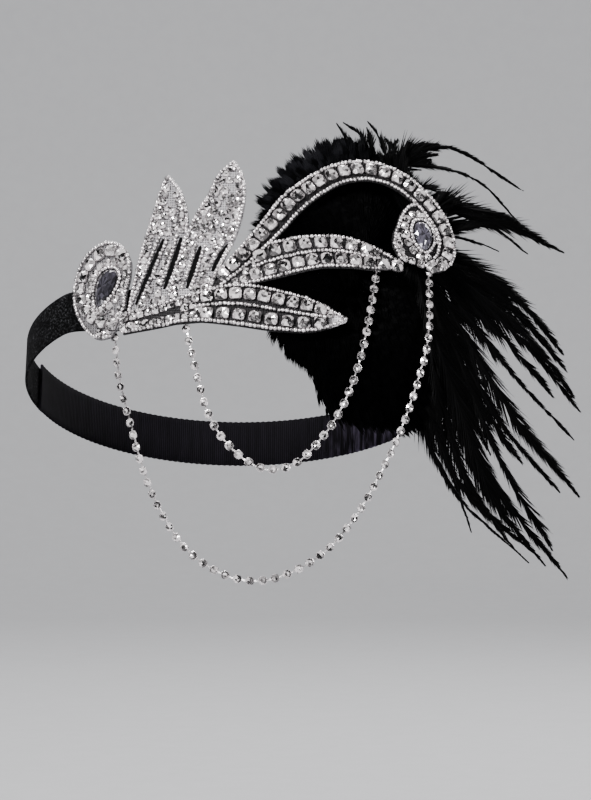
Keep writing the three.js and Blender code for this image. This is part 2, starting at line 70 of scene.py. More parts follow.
STITCH_MARGIN, STITCH_INSETS, STITCH_OUT = 1.2, (0.016, 0.034), 10.0
Plan = namedtuple("Plan", "centre half_across half_deep")
DRAPE_PLAN = Plan(
    SHEET_CENTRE, SHEET_HALF_ACROSS - CHAIN_SETBACK, SHEET_HALF_DEEP - CHAIN_SETBACK,
)
PAD_PLAN = Plan(4.0, 99.5, 81.4)

# Steps for slopes and directions, and samples along each kind of line
SLOPE_STEP, RUN_STEP = 0.5, 1e-4
FINE = np.linspace(0.0, 1.0, 161)
RIBBON_STEPS, ELASTIC_STEPS, STITCH_STEPS, GROUND_STEPS = 220, 420, 30, 70
ROW_STEPS, BEAD_STEPS, SLIT_STEPS, SLIT_EDGE_STEPS, PEAR_STEPS = 90, 120, 30, 60, 72
DRAPE_STEPS, STRAND_STEPS, WISP_STEPS = 400, 60, 30

# What is added to the seed for each kind of detail, and for each piece of a kind
ROW_SEEDS, SMALL_SEED, RING_SEED, BEAD_SEED = 31, 400, 500, 600
CHAIN_SEED, CHAIN_SEEDS, LOCK_SEED = 700, 50, 800
STRAND_SEED, BARB_SEED, BARB_SEEDS = 900, 950, 40

# Motifs of the applique: places u, w of the middle line on the flat sheet, with half the width.
# Each lies over those that come after it.
MOTIFS = {
    "paisley_left": [
        (-66.2, -19.4, 4.4), (-70.5, -14.4, 9.6), (-74, -5, 12.8), (-75, 5, 15), (-73.5, 15, 13.8),
        (-72, 21.5, 9.5), (-71.3, 24.6, 3.5),
    ],
    "leaf_lower": [
        (-63, -17.3, 5.2), (-48, -17, 5.8), (-33, -15.3, 6.8), (-13.6, -15.3, 9.9),
        (5.2, -18.7, 9.8), (19.8, -20.7, 7.5), (33.4, -21, 0.8),
    ],
    "leaf_tall": [
        (-34, -10, 9), (-29, 7, 10), (-22.5, 24, 10.6), (-18, 37, 8.6), (-16, 48, 6),
        (-14.7, 55.6, 0.8),
    ],
    "leaf_left": [
        (-52, -13, 9), (-48, 6, 9.6), (-43.5, 24, 9.6), (-42.5, 38, 6.8), (-43.2, 46, 4),
        (-43.7, 51.5, 0.8),
    ],
    "scroll_arch": [
        (-25.5, -8, 3), (-20.8, -3, 3.6), (-12.7, 4.8, 4.5), (-3.4, 15.9, 5), (4, 25.8, 5.5),
        (10.8, 35, 5.7), (18.9, 42.7, 5.5), (28.5, 49.8, 5.3), (39, 53.7, 5.2), (49.5, 54.4, 5.1),
        (60.1, 51.5, 5.1), (69.1, 45.8, 5.2), (76.5, 38.5, 5.1), (80.9, 30.1, 5), (80.3, 21.5, 4.8),
        (75.2, 14.6, 3.4), (70.5, 12.4, 1.8),
    ],
    "leaf_middle": [
        (-18, -4, 4.5), (-12, -0.5, 6.5), (2, 5.6, 8.7), (19.9, 10.8, 8.3), (32.8, 11.9, 7.7),
        (46, 10.8, 5.6), (58, 10, 1.8),
    ],
    "paisley_right": [
        (66.6, 43, 1.2), (65.2, 36.5, 6.6), (66, 27, 10.8), (65.2, 18.5, 11), (64.5, 12.6, 7.5),
    ],
}

# Rows of big set stones that stand for the solid rows: beside a motif's middle line by a share of
# its half width, from one share of that line to another
BigRow = namedtuple("BigRow", "node motif side start end")
BIG_ROWS = [
    BigRow("stones_arch", "scroll_arch", 0.12, 0.08, 0.97),
    BigRow("stones_middle_upper", "leaf_middle", 0.48, 0.29, 0.78),
    BigRow("stones_middle_lower", "leaf_middle", -0.48, 0.24, 0.97),
    BigRow("stones_lower_upper", "leaf_lower", 0.5, 0.4, 0.86),
    BigRow("stones_lower_lower", "leaf_lower", -0.5, 0.4, 0.86),
]
PAISLEY_ROW = [
    (-68, -16.6), (-75.4, -13), (-82.6, -4.5), (-85.6, 4), (-83.6, 12.6), (-78.4, 18.6),
    (-71.4, 20.6), (-64.6, 17),
]

# Fields of small stones: on a motif, between two shares of its middle line
Field = namedtuple("Field", "motif start end")
FIELDS = [
    Field("paisley_left", 0.04, 0.97), Field("leaf_lower", 0.0, 0.385),
    Field("leaf_lower", 0.86, 0.95), Field("leaf_tall", 0.0, 1.0), Field("leaf_left", 0.0, 1.0),
    Field("leaf_middle", 0.0, 0.26), Field("leaf_middle", 0.74, 0.97),
    Field("paisley_right", 0.0, 0.97),
]
FIELD_EDGE, FIELD_STEP, FIELD_TRIES = 3.1, 0.5, 220
# Room that a small stone keeps from other motifs, slits and stones, in half widths of its own
COVER_CLEAR, SLIT_CLEAR, STONE_CLEAR = 0.7, 0.75, 0.9

# Where a ground turns to bare pale net, between two shares of a motif's middle line
BARE_ENDS = {"leaf_lower": (0.9, 0.96)}
# How far other grounds are towards that pale net
PALENESS = {"paisley_left": 0.17, "leaf_left": 0.3, "leaf_tall": 0.4, "leaf_middle": 0.02}
# How far each ground's faces draw in from those of the one before, and how far a motif counts
# past the ends of its line
GROUND_TUCK, END_REACH = 0.05, 1.0
# Places across the back and the front of a ground, and how far its edges are rounded there
GROUND_BACK, GROUND_FRONT = (-0.96, -0.5, 0.0, 0.5, 0.96), (0.95, 0.5, 0.0, -0.5, -0.95)
BACK_ROUND, FRONT_ROUND = 0.2, 0.25

# Where the gathers of the elastic turn pale with a painted sheen, from start to end along X
GATHER_SHEEN_END = (36.0, 54.0)

# Slits between the stones of the upright leaves, where dark strips on the net are painted shade in
# the gaps
SLITS = [
    [(-45.3, 20.5), (-50.8, 5.7), (-57.2, -9.3)],
    [(-37.2, 20.1), (-40.5, 7.3), (-44.3, -4.3)],
    [(-28.7, 14.5), (-30.9, 5.9), (-34.4, -5.5)],
    [(-16.8, 14.4), (-20.2, 8.2), (-23.5, 1.6)],
]
SLIT_HALF, SLIT_PIPING, SLIT_ENDS = 1.3, 1.95, (0.06, 0.94)
SLIT_SECTION = [(-1, 1.1), (1, 1.1), (0.8, 1.34), (-0.8, 1.34)]  # side, height

# Bead lines inside the motifs: beside the middle line by a share of the half width
BeadLine = namedtuple("BeadLine", "motif side start end")
BEAD_LINES = [
    BeadLine("leaf_middle", 0.0, 0.25, 0.9),
    BeadLine("leaf_lower", 0.0, 0.36, 0.88),
]
# Least offset of an edge line, its margin under other motifs, and the lift of inner lines and rims
BEAD_LEAST, BEAD_COVER, LINE_LIFT, RIM_LIFT = 0.1, 0.2, 0.2, 0.4
LEAST_EDGE, LEAST_RING = 4, 3  # samples of the shortest stretch that is set

# Big cut stones in the eyes of the paisleys
Pear = namedtuple("Pear", "node motif u w length width narrowing lean shade")
PEARS = [
    Pear("pear_stone_left", "paisley_left", -72.2, 2.2, 17.6, 9.4, 0.34, -20, 0.5),
    Pear("pear_stone_right", "paisley_right", 68.6, 27.2, 13.8, 8.8, 0.16, 4, 1.15),
]
PEAR_SIDES = 16
PEAR_RIM, PEAR_RING, PEAR_DISH, RING_COVER = 1.2, 3.9, 2.75, 0.4
# Height, share of the width and turn of each ring of corners
PEAR_LAYERS = [(0.0, 0.9, 0.0), (1.0, 1.0, 0.0), (2.1, 0.8, 0.5), (2.95, 0.5, 0.0)]

# Set stones and cups of a radius of one
STONE_SIDES = 8
CLAW_HALF, CLAW_DEEP, CLAW_SINK = 0.17, 0.3, 0.05
BAR_SECTION = [(-0.17, 0.08), (0.17, 0.08), (0.17, 0.3), (-0.17, 0.3)]
GLINT_SCALE = 57.0  # tells the stones apart, so that each has facets of its own

# Drapes: from a place behind the applique, through x, z points of the front view, to another place
Drape = namedtuple("Drape", "node start hang end")
DRAPES = [
    Drape(
        "chain_short",
        (-35.2, -23),
        [
            (-16, -2), (-10.5, -21), (-1, -35), (12.5, -43.5), (24.5, -42), (39.5, -27), (49, -9),
            (55, 11.5),
        ],
        (48.4, 8.5),
    ),
    Drape(
        "chain_long",
        (-69, -20.5),
        [
            (-49, -5), (-44, -24.5), (-38.5, -44), (-31, -61.5), (-19.5, -78), (-3, -88.5),
            (11, -90.5), (24, -87), (39, -77.5), (52, -62), (62, -44.5), (70.5, -26.5), (77, -8),
            (82, 11),
        ],
        (74.2, 12.8),
    ),
]

# Feather pad: the reach of its locks at every thirtieth degree, and how much of it is past the core
PAD_X, PAD_Z = 49.0, 34.0
PAD_REACH = [42, 50, 60, 70, 63, 54, 43, 41, 43, 63, 72, 50]
PAD_SPOKES = 90
PAD_FRINGE = [7.8, 7.8, 7.8, 9.8, 9.6, 13.3, 9.0, 5.5, 6.5, 7.8, 7.8, 7.8]
# Share of the reach and fullness of each ring of the core
PAD_RINGS = [(0.18, 1.0), (0.38, 1.0), (0.58, 0.95), (0.76, 0.85), (0.92, 0.62), (1.0, 0.25)]
PAD_LEAST_HALF, PAD_SWELL_FROM, PAD_SWELL, PAD_CORE = 1.0, 15.0, 0.055, 0.85
# The locks are combed away from this x, z, and below the middle they also fall right and down
COMB_X, COMB_Z = 56.0, 50.0
PAD_FALL, PAD_FALL_OVER = np.array((0.8, -0.5)), 25.0
# Where the locks at the front are loose, and where the light catches them: between two shares of
# the reach, places x and heights above the middle
PAD_TIGHT, LOOSE_SHARE, LOOSE_X = 0.25, (0.76, 1.0), (15.0, 60.0)
LIT_SHARE, LIT_X, LIT_HEIGHT = (0.58, 1.0), (35.0, 65.0), (15.0, 45.0)

# Barbs as x of the root, tip and curl: a single one, and those of a lock that close to a point
BARB = [(0.0, (0.0, 1.0, -0.02), 0.0)]
LOCK = [
    (-0.17, (-0.14, 0.83, 0.0), 0.06), (-0.09, (-0.06, 0.95, 0.0), 0.1),
    (0.0, (0.02, 1.0, 0.0), 0.08), (0.09, (0.08, 0.93, 0.0), 0.11),
    (0.17, (0.16, 0.8, 0.0), 0.05),
]
BARB_SECTION = np.array(((-0.5, 0.0, 0.0), (0.5, 0.0, 0.0), (0.0, 0.0, 0.6)))
BARB_NARROWING = 0.8
# How far the barbs open at the root of a shaft, how much less at its tip, and how they vary
BARB_OPEN, BARB_CLOSE, BARB_LIFT, BARB_LENGTHS = 1.5, 0.7, 0.14, (0.72, 1.12)
CLUMP_SCALE, CLUMP_SWAY = 160.0, 0.45
BARB_SIDES = [(1, 30, 3.0), (-1, 10, -3.0)]  # side, first seed, slice of the noise
SHAFT_TAPER, SHAFT_SIDES = 0.85, 5
LOCK_LIFTS, LOCK_LENGTHS = (0.4, 1.3), (0.7, 1.2)

# Plumes: root and exit are places u, w on the sheet; mid and tip are points x, y, z
PLUME_ROOT_DEPTH, PLUME_EXIT_DEPTH = -3.0, -7.0
PLUME_FACING = np.array((0.33, -0.944, 0.0))
DRIFT, DRIFT_OVER = 0.6, (0.0, 0.8)
# Reach of the barbs on both sides of a strand at shares of its length, for a plume of this width
REACH_WIDTH = 12
WHIP = [(0.0, 6), (0.2, 11), (0.4, 14), (0.53, 11), (0.61, 5.5), (0.8, 4.4), (0.93, 3.4), (1.0, 1)]
LASH = [(0.0, 6), (0.2, 12), (0.36, 13), (0.45, 9), (0.51, 5), (0.7, 4), (0.88, 3), (1.0, 1)]
THREAD = [(0.0, 3), (0.5, 3), (0.8, 2.4), (1.0, 0.8)]
TUFT = [(0.0, 6), (0.2, 13), (0.45, 15), (0.7, 9), (0.88, 4), (1.0, 1)]
LEAF = [(0.0, 7), (0.15, 14), (0.33, 19), (0.5, 18), (0.7, 13), (0.88, 7.5), (1.0, 2)]
SLATS = [(0.0, 7), (0.15, 14), (0.33, 19), (0.5, 17), (0.6, 10), (0.72, 8), (0.88, 7), (1.0, 2)]
SLIM = [(0.0, 6), (0.3, 10), (0.55, 10), (0.75, 8), (0.9, 5), (1.0, 1.6)]
BULK = [(0.0, 9), (0.3, 18), (0.5, 20), (0.64, 16), (0.78, 11), (0.9, 6.5), (1.0, 1.8)]
PARTED = [(0.0, 9), (0.3, 18), (0.5, 16), (0.6, 9), (0.75, 7.5), (0.9, 5), (1.0, 1.6)]
SLEEK = [(0.0, 6), (0.3, 18), (0.54, 16), (0.64, 9), (0.72, 5.5), (0.88, 6), (0.96, 4), (1.0, 1)]
WAIST = [
    (0.0, 8), (0.3, 18), (0.54, 18), (0.62, 9), (0.69, 8), (0.77, 13), (0.87, 12), (0.95, 6.5),
    (1.0, 1.5),
]
EDGE = [(0.0, 6), (0.3, 16), (0.5, 14), (0.62, 5), (0.8, 3), (1.0, 1)]

# Strands of a plume: how far aside of its curve at each third, as a share of its width, where along
# the curve the strand ends, and the reach of its barbs
Strand = namedtuple("Strand", "asides end reach")
STRAY = [Strand((0, 0, 0, 0), 0.99, WHIP)]
FIRST_HACKLE = [
    Strand((0, 0, 0, 0), 1.0, WHIP), Strand((0, -0.5, -0.35, -0.05), 0.62, TUFT),
    Strand((0, -0.2, -0.1, 0), 0.62, TUFT), Strand((0, 0.08, 0.2, 0.25), 0.62, LEAF),
    Strand((0, 0.2, 0.45, 0.5), 0.6, LEAF),
]
SECOND_HACKLE = [
    Strand((0, 0, 0, 0), 1.0, LASH), Strand((0, 0.06, 0.16, 0.2), 0.47, TUFT),
    Strand((0, -0.1, -0.25, -0.3), 0.48, TUFT),
]
BROAD = [
    Strand((0, -0.4, 0.18, 0), 1.0, BULK), Strand((0, -0.9, -0.3, 0), 0.8, TUFT),
    Strand((0, -0.65, 0, 0.1), 0.9, LEAF), Strand((0, -0.1, 0.3, 0.2), 0.8, TUFT),
]
SHOULDER = [
    Strand((0, 0.1, 0.1, 0), 1.0, SLIM), Strand((0, 0.3, 0.42, 0.35), 0.93, LEAF),
    Strand((0, 0.5, 0.8, 0.7), 0.86, LEAF), Strand((0, -0.35, -0.6, -0.8), 0.62, THREAD),
]
VANE = [
    Strand((0, 0, 0, 0), 1.0, SLATS), Strand((0, -0.1, -0.3, -0.24), 0.95, SLATS),
    Strand((0, 0.1, 0.3, 0.3), 0.89, SLATS),
]
SPLIT = [
    Strand((0, 0.1, 0.12, 0), 1.0, BULK), Strand((0, 0.35, 0.6, 0.42), 0.95, SLEEK),
    Strand((0, 0.5, 0.85, 0.85), 0.8, BULK),
]
LONE = [
    Strand((0, 0.1, 0.1, 0), 1.0, WAIST), Strand((0, 0.3, 0.42, 0.4), 0.66, BULK),
    Strand((0, 0.55, 0.95, 0.9), 0.74, BULK),
]
NARROW = [
    Strand((0, 0.1, 0.1, 0), 1.0, BULK), Strand((0, 0.3, 0.45, 0.38), 0.94, BULK),
    Strand((0, 0.5, 0.8, 0.75), 0.86, BULK),
]
BORDER = [
    Strand((0, 1.4, 0.78, 0), 1.0, EDGE), Strand((0, 1.1, 0.55, -0.3), 0.97, PARTED),
    Strand((0, 0.2, -0.4, -0.3), 0.9, BULK),
]
Plume = namedtuple("Plume", "form root exit mid tip width")
PLUMES = [
    Plume(FIRST_HACKLE, (67, 33), (60, 65), (92, -22, 97), (127, -10, 79), 11),
    Plume(SECOND_HACKLE, (67, 32), (63, 65), (103, -24, 84), (126, -12, 64), 10),
    Plume(BROAD, (68, 31), (84, 44), (116, -24, 65), (145, -8, 51), 11),
    Plume(STRAY, (69, 30), (88, 39), (110, -26, 61), (130, -14, 49), 9),
    Plume(SHOULDER, (69, 28), (90, 32), (111, -28, 41), (136, -16, 18), 13),
    Plume(VANE, (69, 27), (90, 26), (121, -28, 26), (146, -14, -1), 14),
    Plume(VANE, (69, 26), (89, 20), (124, -33, 12), (150, -18, -19), 14),
    Plume(STRAY, (69, 25), (87, 13), (122, -37, -4), (149, -24, -32), 12),
    Plume(SPLIT, (68, 24), (86, 8), (121, -42, -20), (149, -28, -56), 13),
    Plume(LONE, (68, 22), (84, 3), (114, -46, -36), (138, -32, -79), 12),
    Plume(NARROW, (67, 21), (82, -1), (108, -49, -44), (143, -36, -92), 12),
    Plume(BORDER, (67, 20), (79, -4), (101, -53, -46), (127, -42, -86), 14),
    Plume(STRAY, (66, 20), (76, -6), (91, -55, -36), (103, -50, -74), 11),
]
UPPER_PLUMES = 4

# Wisps on the edge of the feather pad: x, z points from root to tip, and the reach of the barbs
FINE_WISP = [(0.0, 7), (0.4, 5), (0.75, 2.6), (1.0, 0.8)]
FULL_WISP = [(0.0, 7), (0.3, 9), (0.6, 9), (0.85, 5), (1.0, 1)]
Wisp = namedtuple("Wisp", "points reach")
WISPS = [
    Wisp([(49.5, 93), (47.5, 100), (44, 106.4)], FINE_WISP),
    Wisp([(57.5, 95), (54, 102.2), (47.2, 107)], FINE_WISP),
    Wisp([(59, 95), (58.4, 100), (57.3, 105)], FINE_WISP),
    Wisp([(65.5, 93), (62.6, 101.5), (57.9, 108)], FINE_WISP),
    Wisp([(68, 92), (67.4, 97), (65.2, 101.5)], FINE_WISP),
    Wisp([(69, 92), (69, 97), (71, 101)], FINE_WISP),
    Wisp([(75, 72), (82, 79), (95, 76.5)], FULL_WISP),
    Wisp([(76, 67), (86, 75), (103, 72)], FULL_WISP),
    Wisp([(77, 63), (89, 70.5), (109, 68)], FULL_WISP),
]

# Camera, lights and floor
CAMERA_PLACE = (25.75 * MM, -1270 * MM, -14.8 * MM)
CAMERA_LENS = 127.1
Lamp = namedtuple("Lamp", "name place aim size power")
LAMPS = [
    Lamp("key", (-0.75, -1.15, 0.95), (0.02, -0.05, 0.02), 0.36, 64.0),
    Lamp("fill", (1.1, -1.0, 0.25), (0.03, -0.05, 0.0), 0.45, 20.0),
    Lamp("low", (-0.2, -1.2, -0.15), (0.02, -0.05, 0.03), 0.25, 3.0),
    Lamp("rim", (0.7, 0.9, 0.75), (0.06, -0.03, 0.0), 0.6, 12.0),
    Lamp("backdrop", (0.0, 1.0, 1.6), (0.0, 1.7, -0.2), 1.2, 45.0),
]
SKY_COLOUR, SKY_STRENGTH = (0.5, 0.5, 0.52, 1.0), 0.35
FLOOR_LEVEL, FLOOR_FLAT, FLOOR_SWEEP, FLOOR_WALL = -0.26, 1.9, 1.0, 1.2
FLOOR_RADII, FLOOR_SIDES, FLOOR_SWEEP_RINGS = [0.02, 0.5, 1.0, 1.5], 96, 9
WHITE = (1.0, 1.0, 1.0)


# Curves and surfaces

def place(across, deep, rise):
    """Points given along the tilted loop's own axes."""
    across, deep, rise = np.broadcast_arrays(across, deep, rise)
    return across[..., None] * ACROSS + deep[..., None] * DEEP + rise[..., None] * RISE


def smoothstep(value, start, end):
    """A soft ramp from 0 at start to 1 at end."""
    share = np.clip((value - start) / (end - start), 0.0, 1.0)
    return share * share * (3.0 - 2.0 * share)


def smooth_path(points, shares):
    """The smooth curve through the points, each span of it an equal share."""
    points = np.asarray(points, float)
    shares = np.clip(np.atleast_1d(shares), 0, 1)
    spans = len(points) - 1
    padded = np.vstack((2 * points[0] - points[1], points, 2 * points[-1] - points[-2]))
    span = np.minimum((shares * spans).astype(int), spans - 1)
    local = (shares * spans - span)[:, None]
    before, here, there, after = (padded[span + step] for step in range(4))
    first, middle, last = (
        np.sqrt(np.linalg.norm(b - a, axis=1))[:, None]
        for a, b in ((before, here), (here, there), (there, after))
    )
    leave = (here - before) / first - (there - before) / (first + middle) + (there - here) / middle
    arrive = (there - here) / middle - (after - here) / (middle + last) + (after - there) / last
    leave, arrive = leave * middle, arrive * middle
    cubic = 2 * here - 2 * there + leave + arrive
    square = 3 * there - 3 * here - 2 * leave - arrive
    return ((cubic * local + square) * local + leave) * local + here


def lengths_along(points):
    """How far along a line each of its points lies."""
    return np.concatenate(([0.0], np.cumsum(np.linalg.norm(np.diff(points, axis=0), axis=1))))


def unit(vectors):
    """The same directions, each of length one."""
    return vectors / np.linalg.norm(vectors, axis=-1, keepdims=True)


def band_point(bearing, offset, rise):
    """A point of the headband at a bearing from the right, out from the loop and up its width."""
    drop = FRONT_DROP * smoothstep(-np.sin(bearing), DROP_STARTS, DROP_ENDS)
    return place(
        (LOOP_HALF_ACROSS + offset) * np.cos(bearing),
        (LOOP_HALF_DEEP + offset) * np.sin(bearing),
        rise - drop,
    )


PLAN_ANGLES = np.linspace(math.pi, 2 * math.pi, 4001)
PLAN_ARC = lengths_along(np.column_stack((
    SHEET_CENTRE + SHEET_HALF_ACROSS * np.cos(PLAN_ANGLES),
    SHEET_HALF_DEEP * np.sin(PLAN_ANGLES),
)))
PLAN_ARC -= PLAN_ARC[-1] / 2


def sheet(u, w, height):
    """Points on the applique's curved sheet, raised from its back, and the outward directions."""
    u, w, height = np.broadcast_arrays(np.asarray(u, float), w, height)
    angle = np.interp(u, PLAN_ARC, PLAN_ANGLES)
    across, deep = SHEET_HALF_ACROSS * np.cos(angle), SHEET_HALF_DEEP * np.sin(angle)
    run = unit(np.stack(
        (-SHEET_HALF_ACROSS * np.sin(angle), SHEET_HALF_DEEP * np.cos(angle)), axis=-1,
    ))
    out_x, out_y = run[..., 1], -run[..., 0]
    points = place(SHEET_CENTRE + across + out_x * height, deep + out_y * height, w)
    return points, place(out_x, out_y, 0.0)


def soft_depth(plan, x, z):
    """Depth of a soft surface that leans with the band and hangs plumb below the fold."""
    offset = np.clip((x - plan.centre) / plan.half_across, -SIDE_LIMIT, SIDE_LIMIT)
    deep = -plan.half_deep * np.sqrt(1 - offset * offset)
    lift = FOLD_SOFT * np.log1p(np.exp((z - FOLD_LEVEL) / FOLD_SOFT))
    return deep / math.cos(TILT) + (FOLD_LEVEL + lift) * math.tan(TILT)


def soft_outward(plan, x, z):
    """The direction towards the front of such a surface."""
    ahead, behind = SLOPE_STEP, -SLOPE_STEP
    slope_x = soft_depth(plan, x + ahead, z) - soft_depth(plan, x + behind, z)
    slope_z = soft_depth(plan, x, z + ahead) - soft_depth(plan, x, z + behind)
    return unit(np.stack((slope_x, np.full_like(slope_x, behind - ahead), slope_z), axis=-1))


# Motifs on the flat sheet

MotifLine = namedtuple("MotifLine", "u w half side_u side_w")


def motif_line(motif, shares):
    """A motif's middle line, half width and sideways direction at shares of its length."""
    at = smooth_path(MOTIFS[motif], shares)
    ahead = smooth_path(MOTIFS[motif], np.minimum(shares + RUN_STEP, 1.0))
    behind = smooth_path(MOTIFS[motif], np.maximum(shares - RUN_STEP, 0.0))
    run = unit((ahead - behind)[:, :2])
    return MotifLine(at[:, 0], at[:, 1], at[:, 2], -run[:, 1], run[:, 0])


def aside(line, offset):
    """Places beside a motif's middle line by an offset, which may change along it."""
    return line.u + line.side_u * offset, line.w + line.side_w * offset


def row_line(row, steps):
    """The places of a row that runs beside a motif's middle line by a share of its half width."""
    line = motif_line(row.motif, np.linspace(row.start, row.end, steps))
    return aside(line, line.half * row.side)


def inside_motif(motif, u, w, margin):
    """Which places lie on a motif, grown by a margin."""
    line = motif_line(motif, FINE)
    away_u, away_w = u[:, None] - line.u, w[:, None] - line.w
    nearest = np.argmin(away_u ** 2 + away_w ** 2, axis=1)
    row = np.arange(len(u))
    away_u, away_w = away_u[row, nearest], away_w[row, nearest]
    side_u, side_w = line.side_u[nearest], line.side_w[nearest]
    sideways = np.abs(away_u * side_u + away_w * side_w)
    lengthways = np.abs(away_u * side_w - away_w * side_u)
    return (sideways < line.half[nearest] + margin) & (lengthways < END_REACH + max(margin, 0.0))


def covered(motif, u, w, margin):
    """Which places of a motif lie under the motifs that come before it."""
    names = list(MOTIFS)
    under = np.zeros(len(u), bool)
    for upper in names[:names.index(motif)]:
        under |= inside_motif(upper, u, w, margin)
    return under


def near(u, w, line_u, line_w, distance):
    """Which places lie close to a line."""
    return np.hypot(u[:, None] - line_u, w[:, None] - line_w).min(axis=1) < distance


def stretches(keep, least):
    """The unbroken stretches of a mask, as slices."""
    turns = np.flatnonzero(np.diff(np.concatenate(([0], keep.astype(int), [0]))))
    return [slice(a, b) for a, b in zip(turns[::2], turns[1::2]) if b - a >= least]


def slit_side(slit, steps, offset):
    """Places beside a slit's middle line by an offset, which may change along it."""
    line = smooth_path(slit, np.linspace(0, 1, steps))
    run = unit(np.gradient(line, axis=0))
    return line[:, 0] - run[:, 1] * offset, line[:, 1] + run[:, 0] * offset


def pear_places(pear, angle, half_length, half_width):
    """Places round a pear stone's middle at angles from its wide end."""
    along = half_length * np.cos(angle)
    across = half_width * np.sin(angle) * (1 + pear.narrowing * np.cos(angle))
    lean = math.radians(pear.lean)
    u = pear.u + across * math.cos(lean) - along * math.sin(lean)
    w = pear.w + across * math.sin(lean) + along * math.cos(lean)
    return u, w


def pear_ring(pear, grow):
    """Places round a pear stone, grown outwards by a distance."""
    angle = np.arange(PEAR_STEPS) * 2 * math.pi / PEAR_STEPS
    return pear_places(pear, angle, pear.length / 2 + grow, pear.width / 2 + grow)


def inside_pear(pear, u, w, grow):
    """Which places lie on a pear stone, grown outwards by a distance."""
    cos, sin = math.cos(math.radians(pear.lean)), math.sin(math.radians(pear.lean))
    u, w = u - pear.u, w - pear.w
    along = (w * cos - u * sin) / (pear.length / 2 + grow)
    widest = (pear.width / 2 + grow) * (1 + pear.narrowing * np.clip(along, -1, 1))
    return along ** 2 + ((u * cos + w * sin) / widest) ** 2 < 1


# Meshes and pieces

Path = namedtuple("Path", "points outs closed reach", defaults=(False, 1.0))


def sheet_path(u, w, height, closed=False):
    """A line on the applique's sheet, with its outward directions."""
    return Path(*sheet(u, w, height), closed)


def feather_path(points, reach):
    """The shaft of a feather, with the reach of its barbs."""
    return Path(points, np.tile(PLUME_FACING, (len(points), 1)), False, reach * MM)


def paths_mesh(name, paths):
    """A mesh of lines that carries each line's outward direction and reach."""
    edges, first = [], 0
    for path in paths:
        last = first + len(path.points) - 1
        edges += [(step, step + 1) for step in range(first, last)]
        if path.closed:
            edges.append((last, first))
        first = last + 1
    mesh = bpy.data.meshes.new(name)
    points = np.concatenate([path.points for path in paths])
    mesh.from_pydata((points * MM).tolist(), edges, [])
    set_vectors(mesh, "out", np.concatenate([path.outs for path in paths]))
    set_values(mesh, "reach", np.concatenate([
        np.broadcast_to(path.reach, len(path.points)) for path in paths
    ]))
    return mesh


def set_vectors(mesh, name, vectors):
    """Stores a direction or coordinate for each point."""
    layer = mesh.attributes.new(name, "FLOAT_VECTOR", "POINT")
    layer.data.foreach_set("vector", np.ascontiguousarray(vectors, np.float32).ravel())


def set_values(mesh, name, values, domain="POINT"):
    """Stores a number for each point or face."""
    layer = mesh.attributes.new(name, "FLOAT", domain)
    layer.data.foreach_set("value", np.asarray(values, np.float32))


def ring_faces(count, first, second):
    """The quads between two closed rings of points."""
    return [
        (first + side, first + (side + 1) % count, second + (side + 1) % count, second + side)
        for side in range(count)
    ]


def tube_faces(rings, count, first=0):
    """The quads between closed rings of points, then the faces at both ends."""
    starts = [first + ring * count for ring in range(rings)]
    faces = [face for start in starts[:-1] for face in ring_faces(count, start, start + count)]
    return faces + [tuple(range(start, start + count)) for start in (starts[0], starts[-1])]


def closed_mesh(name, points, faces):
    """A closed mesh with its faces turned outwards."""
    mesh = bpy.data.meshes.new(name)
    mesh.from_pydata(np.asarray(points).tolist(), [], faces)
    shell = bmesh.new()
    shell.from_mesh(mesh)
    bmesh.ops.recalc_face_normals(shell, faces=shell.faces)
    shell.to_mesh(mesh)
    shell.free()
    return mesh


def loft(name, rings):
    """A smooth closed mesh through rings of points in millimetres."""
    rings = np.asarray(rings)
    mesh = closed_mesh(name, rings.reshape(-1, 3) * MM, tube_faces(*rings.shape[:2]))
    mesh.shade_smooth()
    return mesh


def new_object(name, data):
    """Puts an object into the scene."""
    made = bpy.data.objects.new(name, data)
    bpy.context.scene.collection.objects.link(made)
    return made


def add_piece(name, mesh, slot, *stands_for):
    """Puts a finished mesh on the headpiece in place of the named solids."""
    piece = new_object(name, mesh)
    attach(piece, BODY)
    if stands_for:
        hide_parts(*stands_for)
    return piece


def add_plain_piece(name, mesh, look, slot, *stands_for):
    """The same for a mesh that has one finish all over."""
    mesh.materials.append(finish(look))
    return add_piece(name, mesh, slot, *stands_for)


# Shapes that repeat, drawn at a radius or length of one

def circle(count, radius, height, turn=0.0):
    """A ring of points."""
    angle = (np.arange(count) + turn) * 2 * math.pi / count
    return np.column_stack((
        radius * np.cos(angle), radius * np.sin(angle), np.full(count, height),
    ))


def cut_square(half, chamfer, height):
    """A ring of eight points: a square with cut corners."""
    corners = [(half, chamfer), (chamfer, half), (-chamfer, half), (-half, chamfer)]
    return np.array([(x * sign, y * sign, height) for sign in (1, -1) for x, y in corners])


def item_object(name, points, faces, facets=0):
    """A shape to be repeated. Each cut facet has a number of its own, and all else has zero."""
    mesh = closed_mesh(name, points, faces)
    set_values(mesh, "facet", np.broadcast_to(facets, len(faces)), "FACE")
    return new_object(name, mesh)


def add_claws(points, faces, radius, foot, tip):
    """Adds four claws that hold a stone at its corners."""
    for quarter in range(4):
        angle = math.pi / 4 + quarter * math.pi / 2
        out = np.array((math.cos(angle), math.sin(angle), 0.0))
        side = np.array((-math.sin(angle), math.cos(angle), 0.0)) * CLAW_HALF
        first = len(points)
        points += [
            out * radius + side + (0, 0, foot),
            out * radius - side + (0, 0, foot),
            out * (radius - CLAW_DEEP) + (0, 0, foot - CLAW_SINK),
            out * (radius - CLAW_DEEP) + (0, 0, tip),
        ]
        corners = ((0, 3, 1), (1, 3, 2), (2, 3, 0), (0, 1, 2))
        faces += [tuple(first + corner for corner in face) for face in corners]


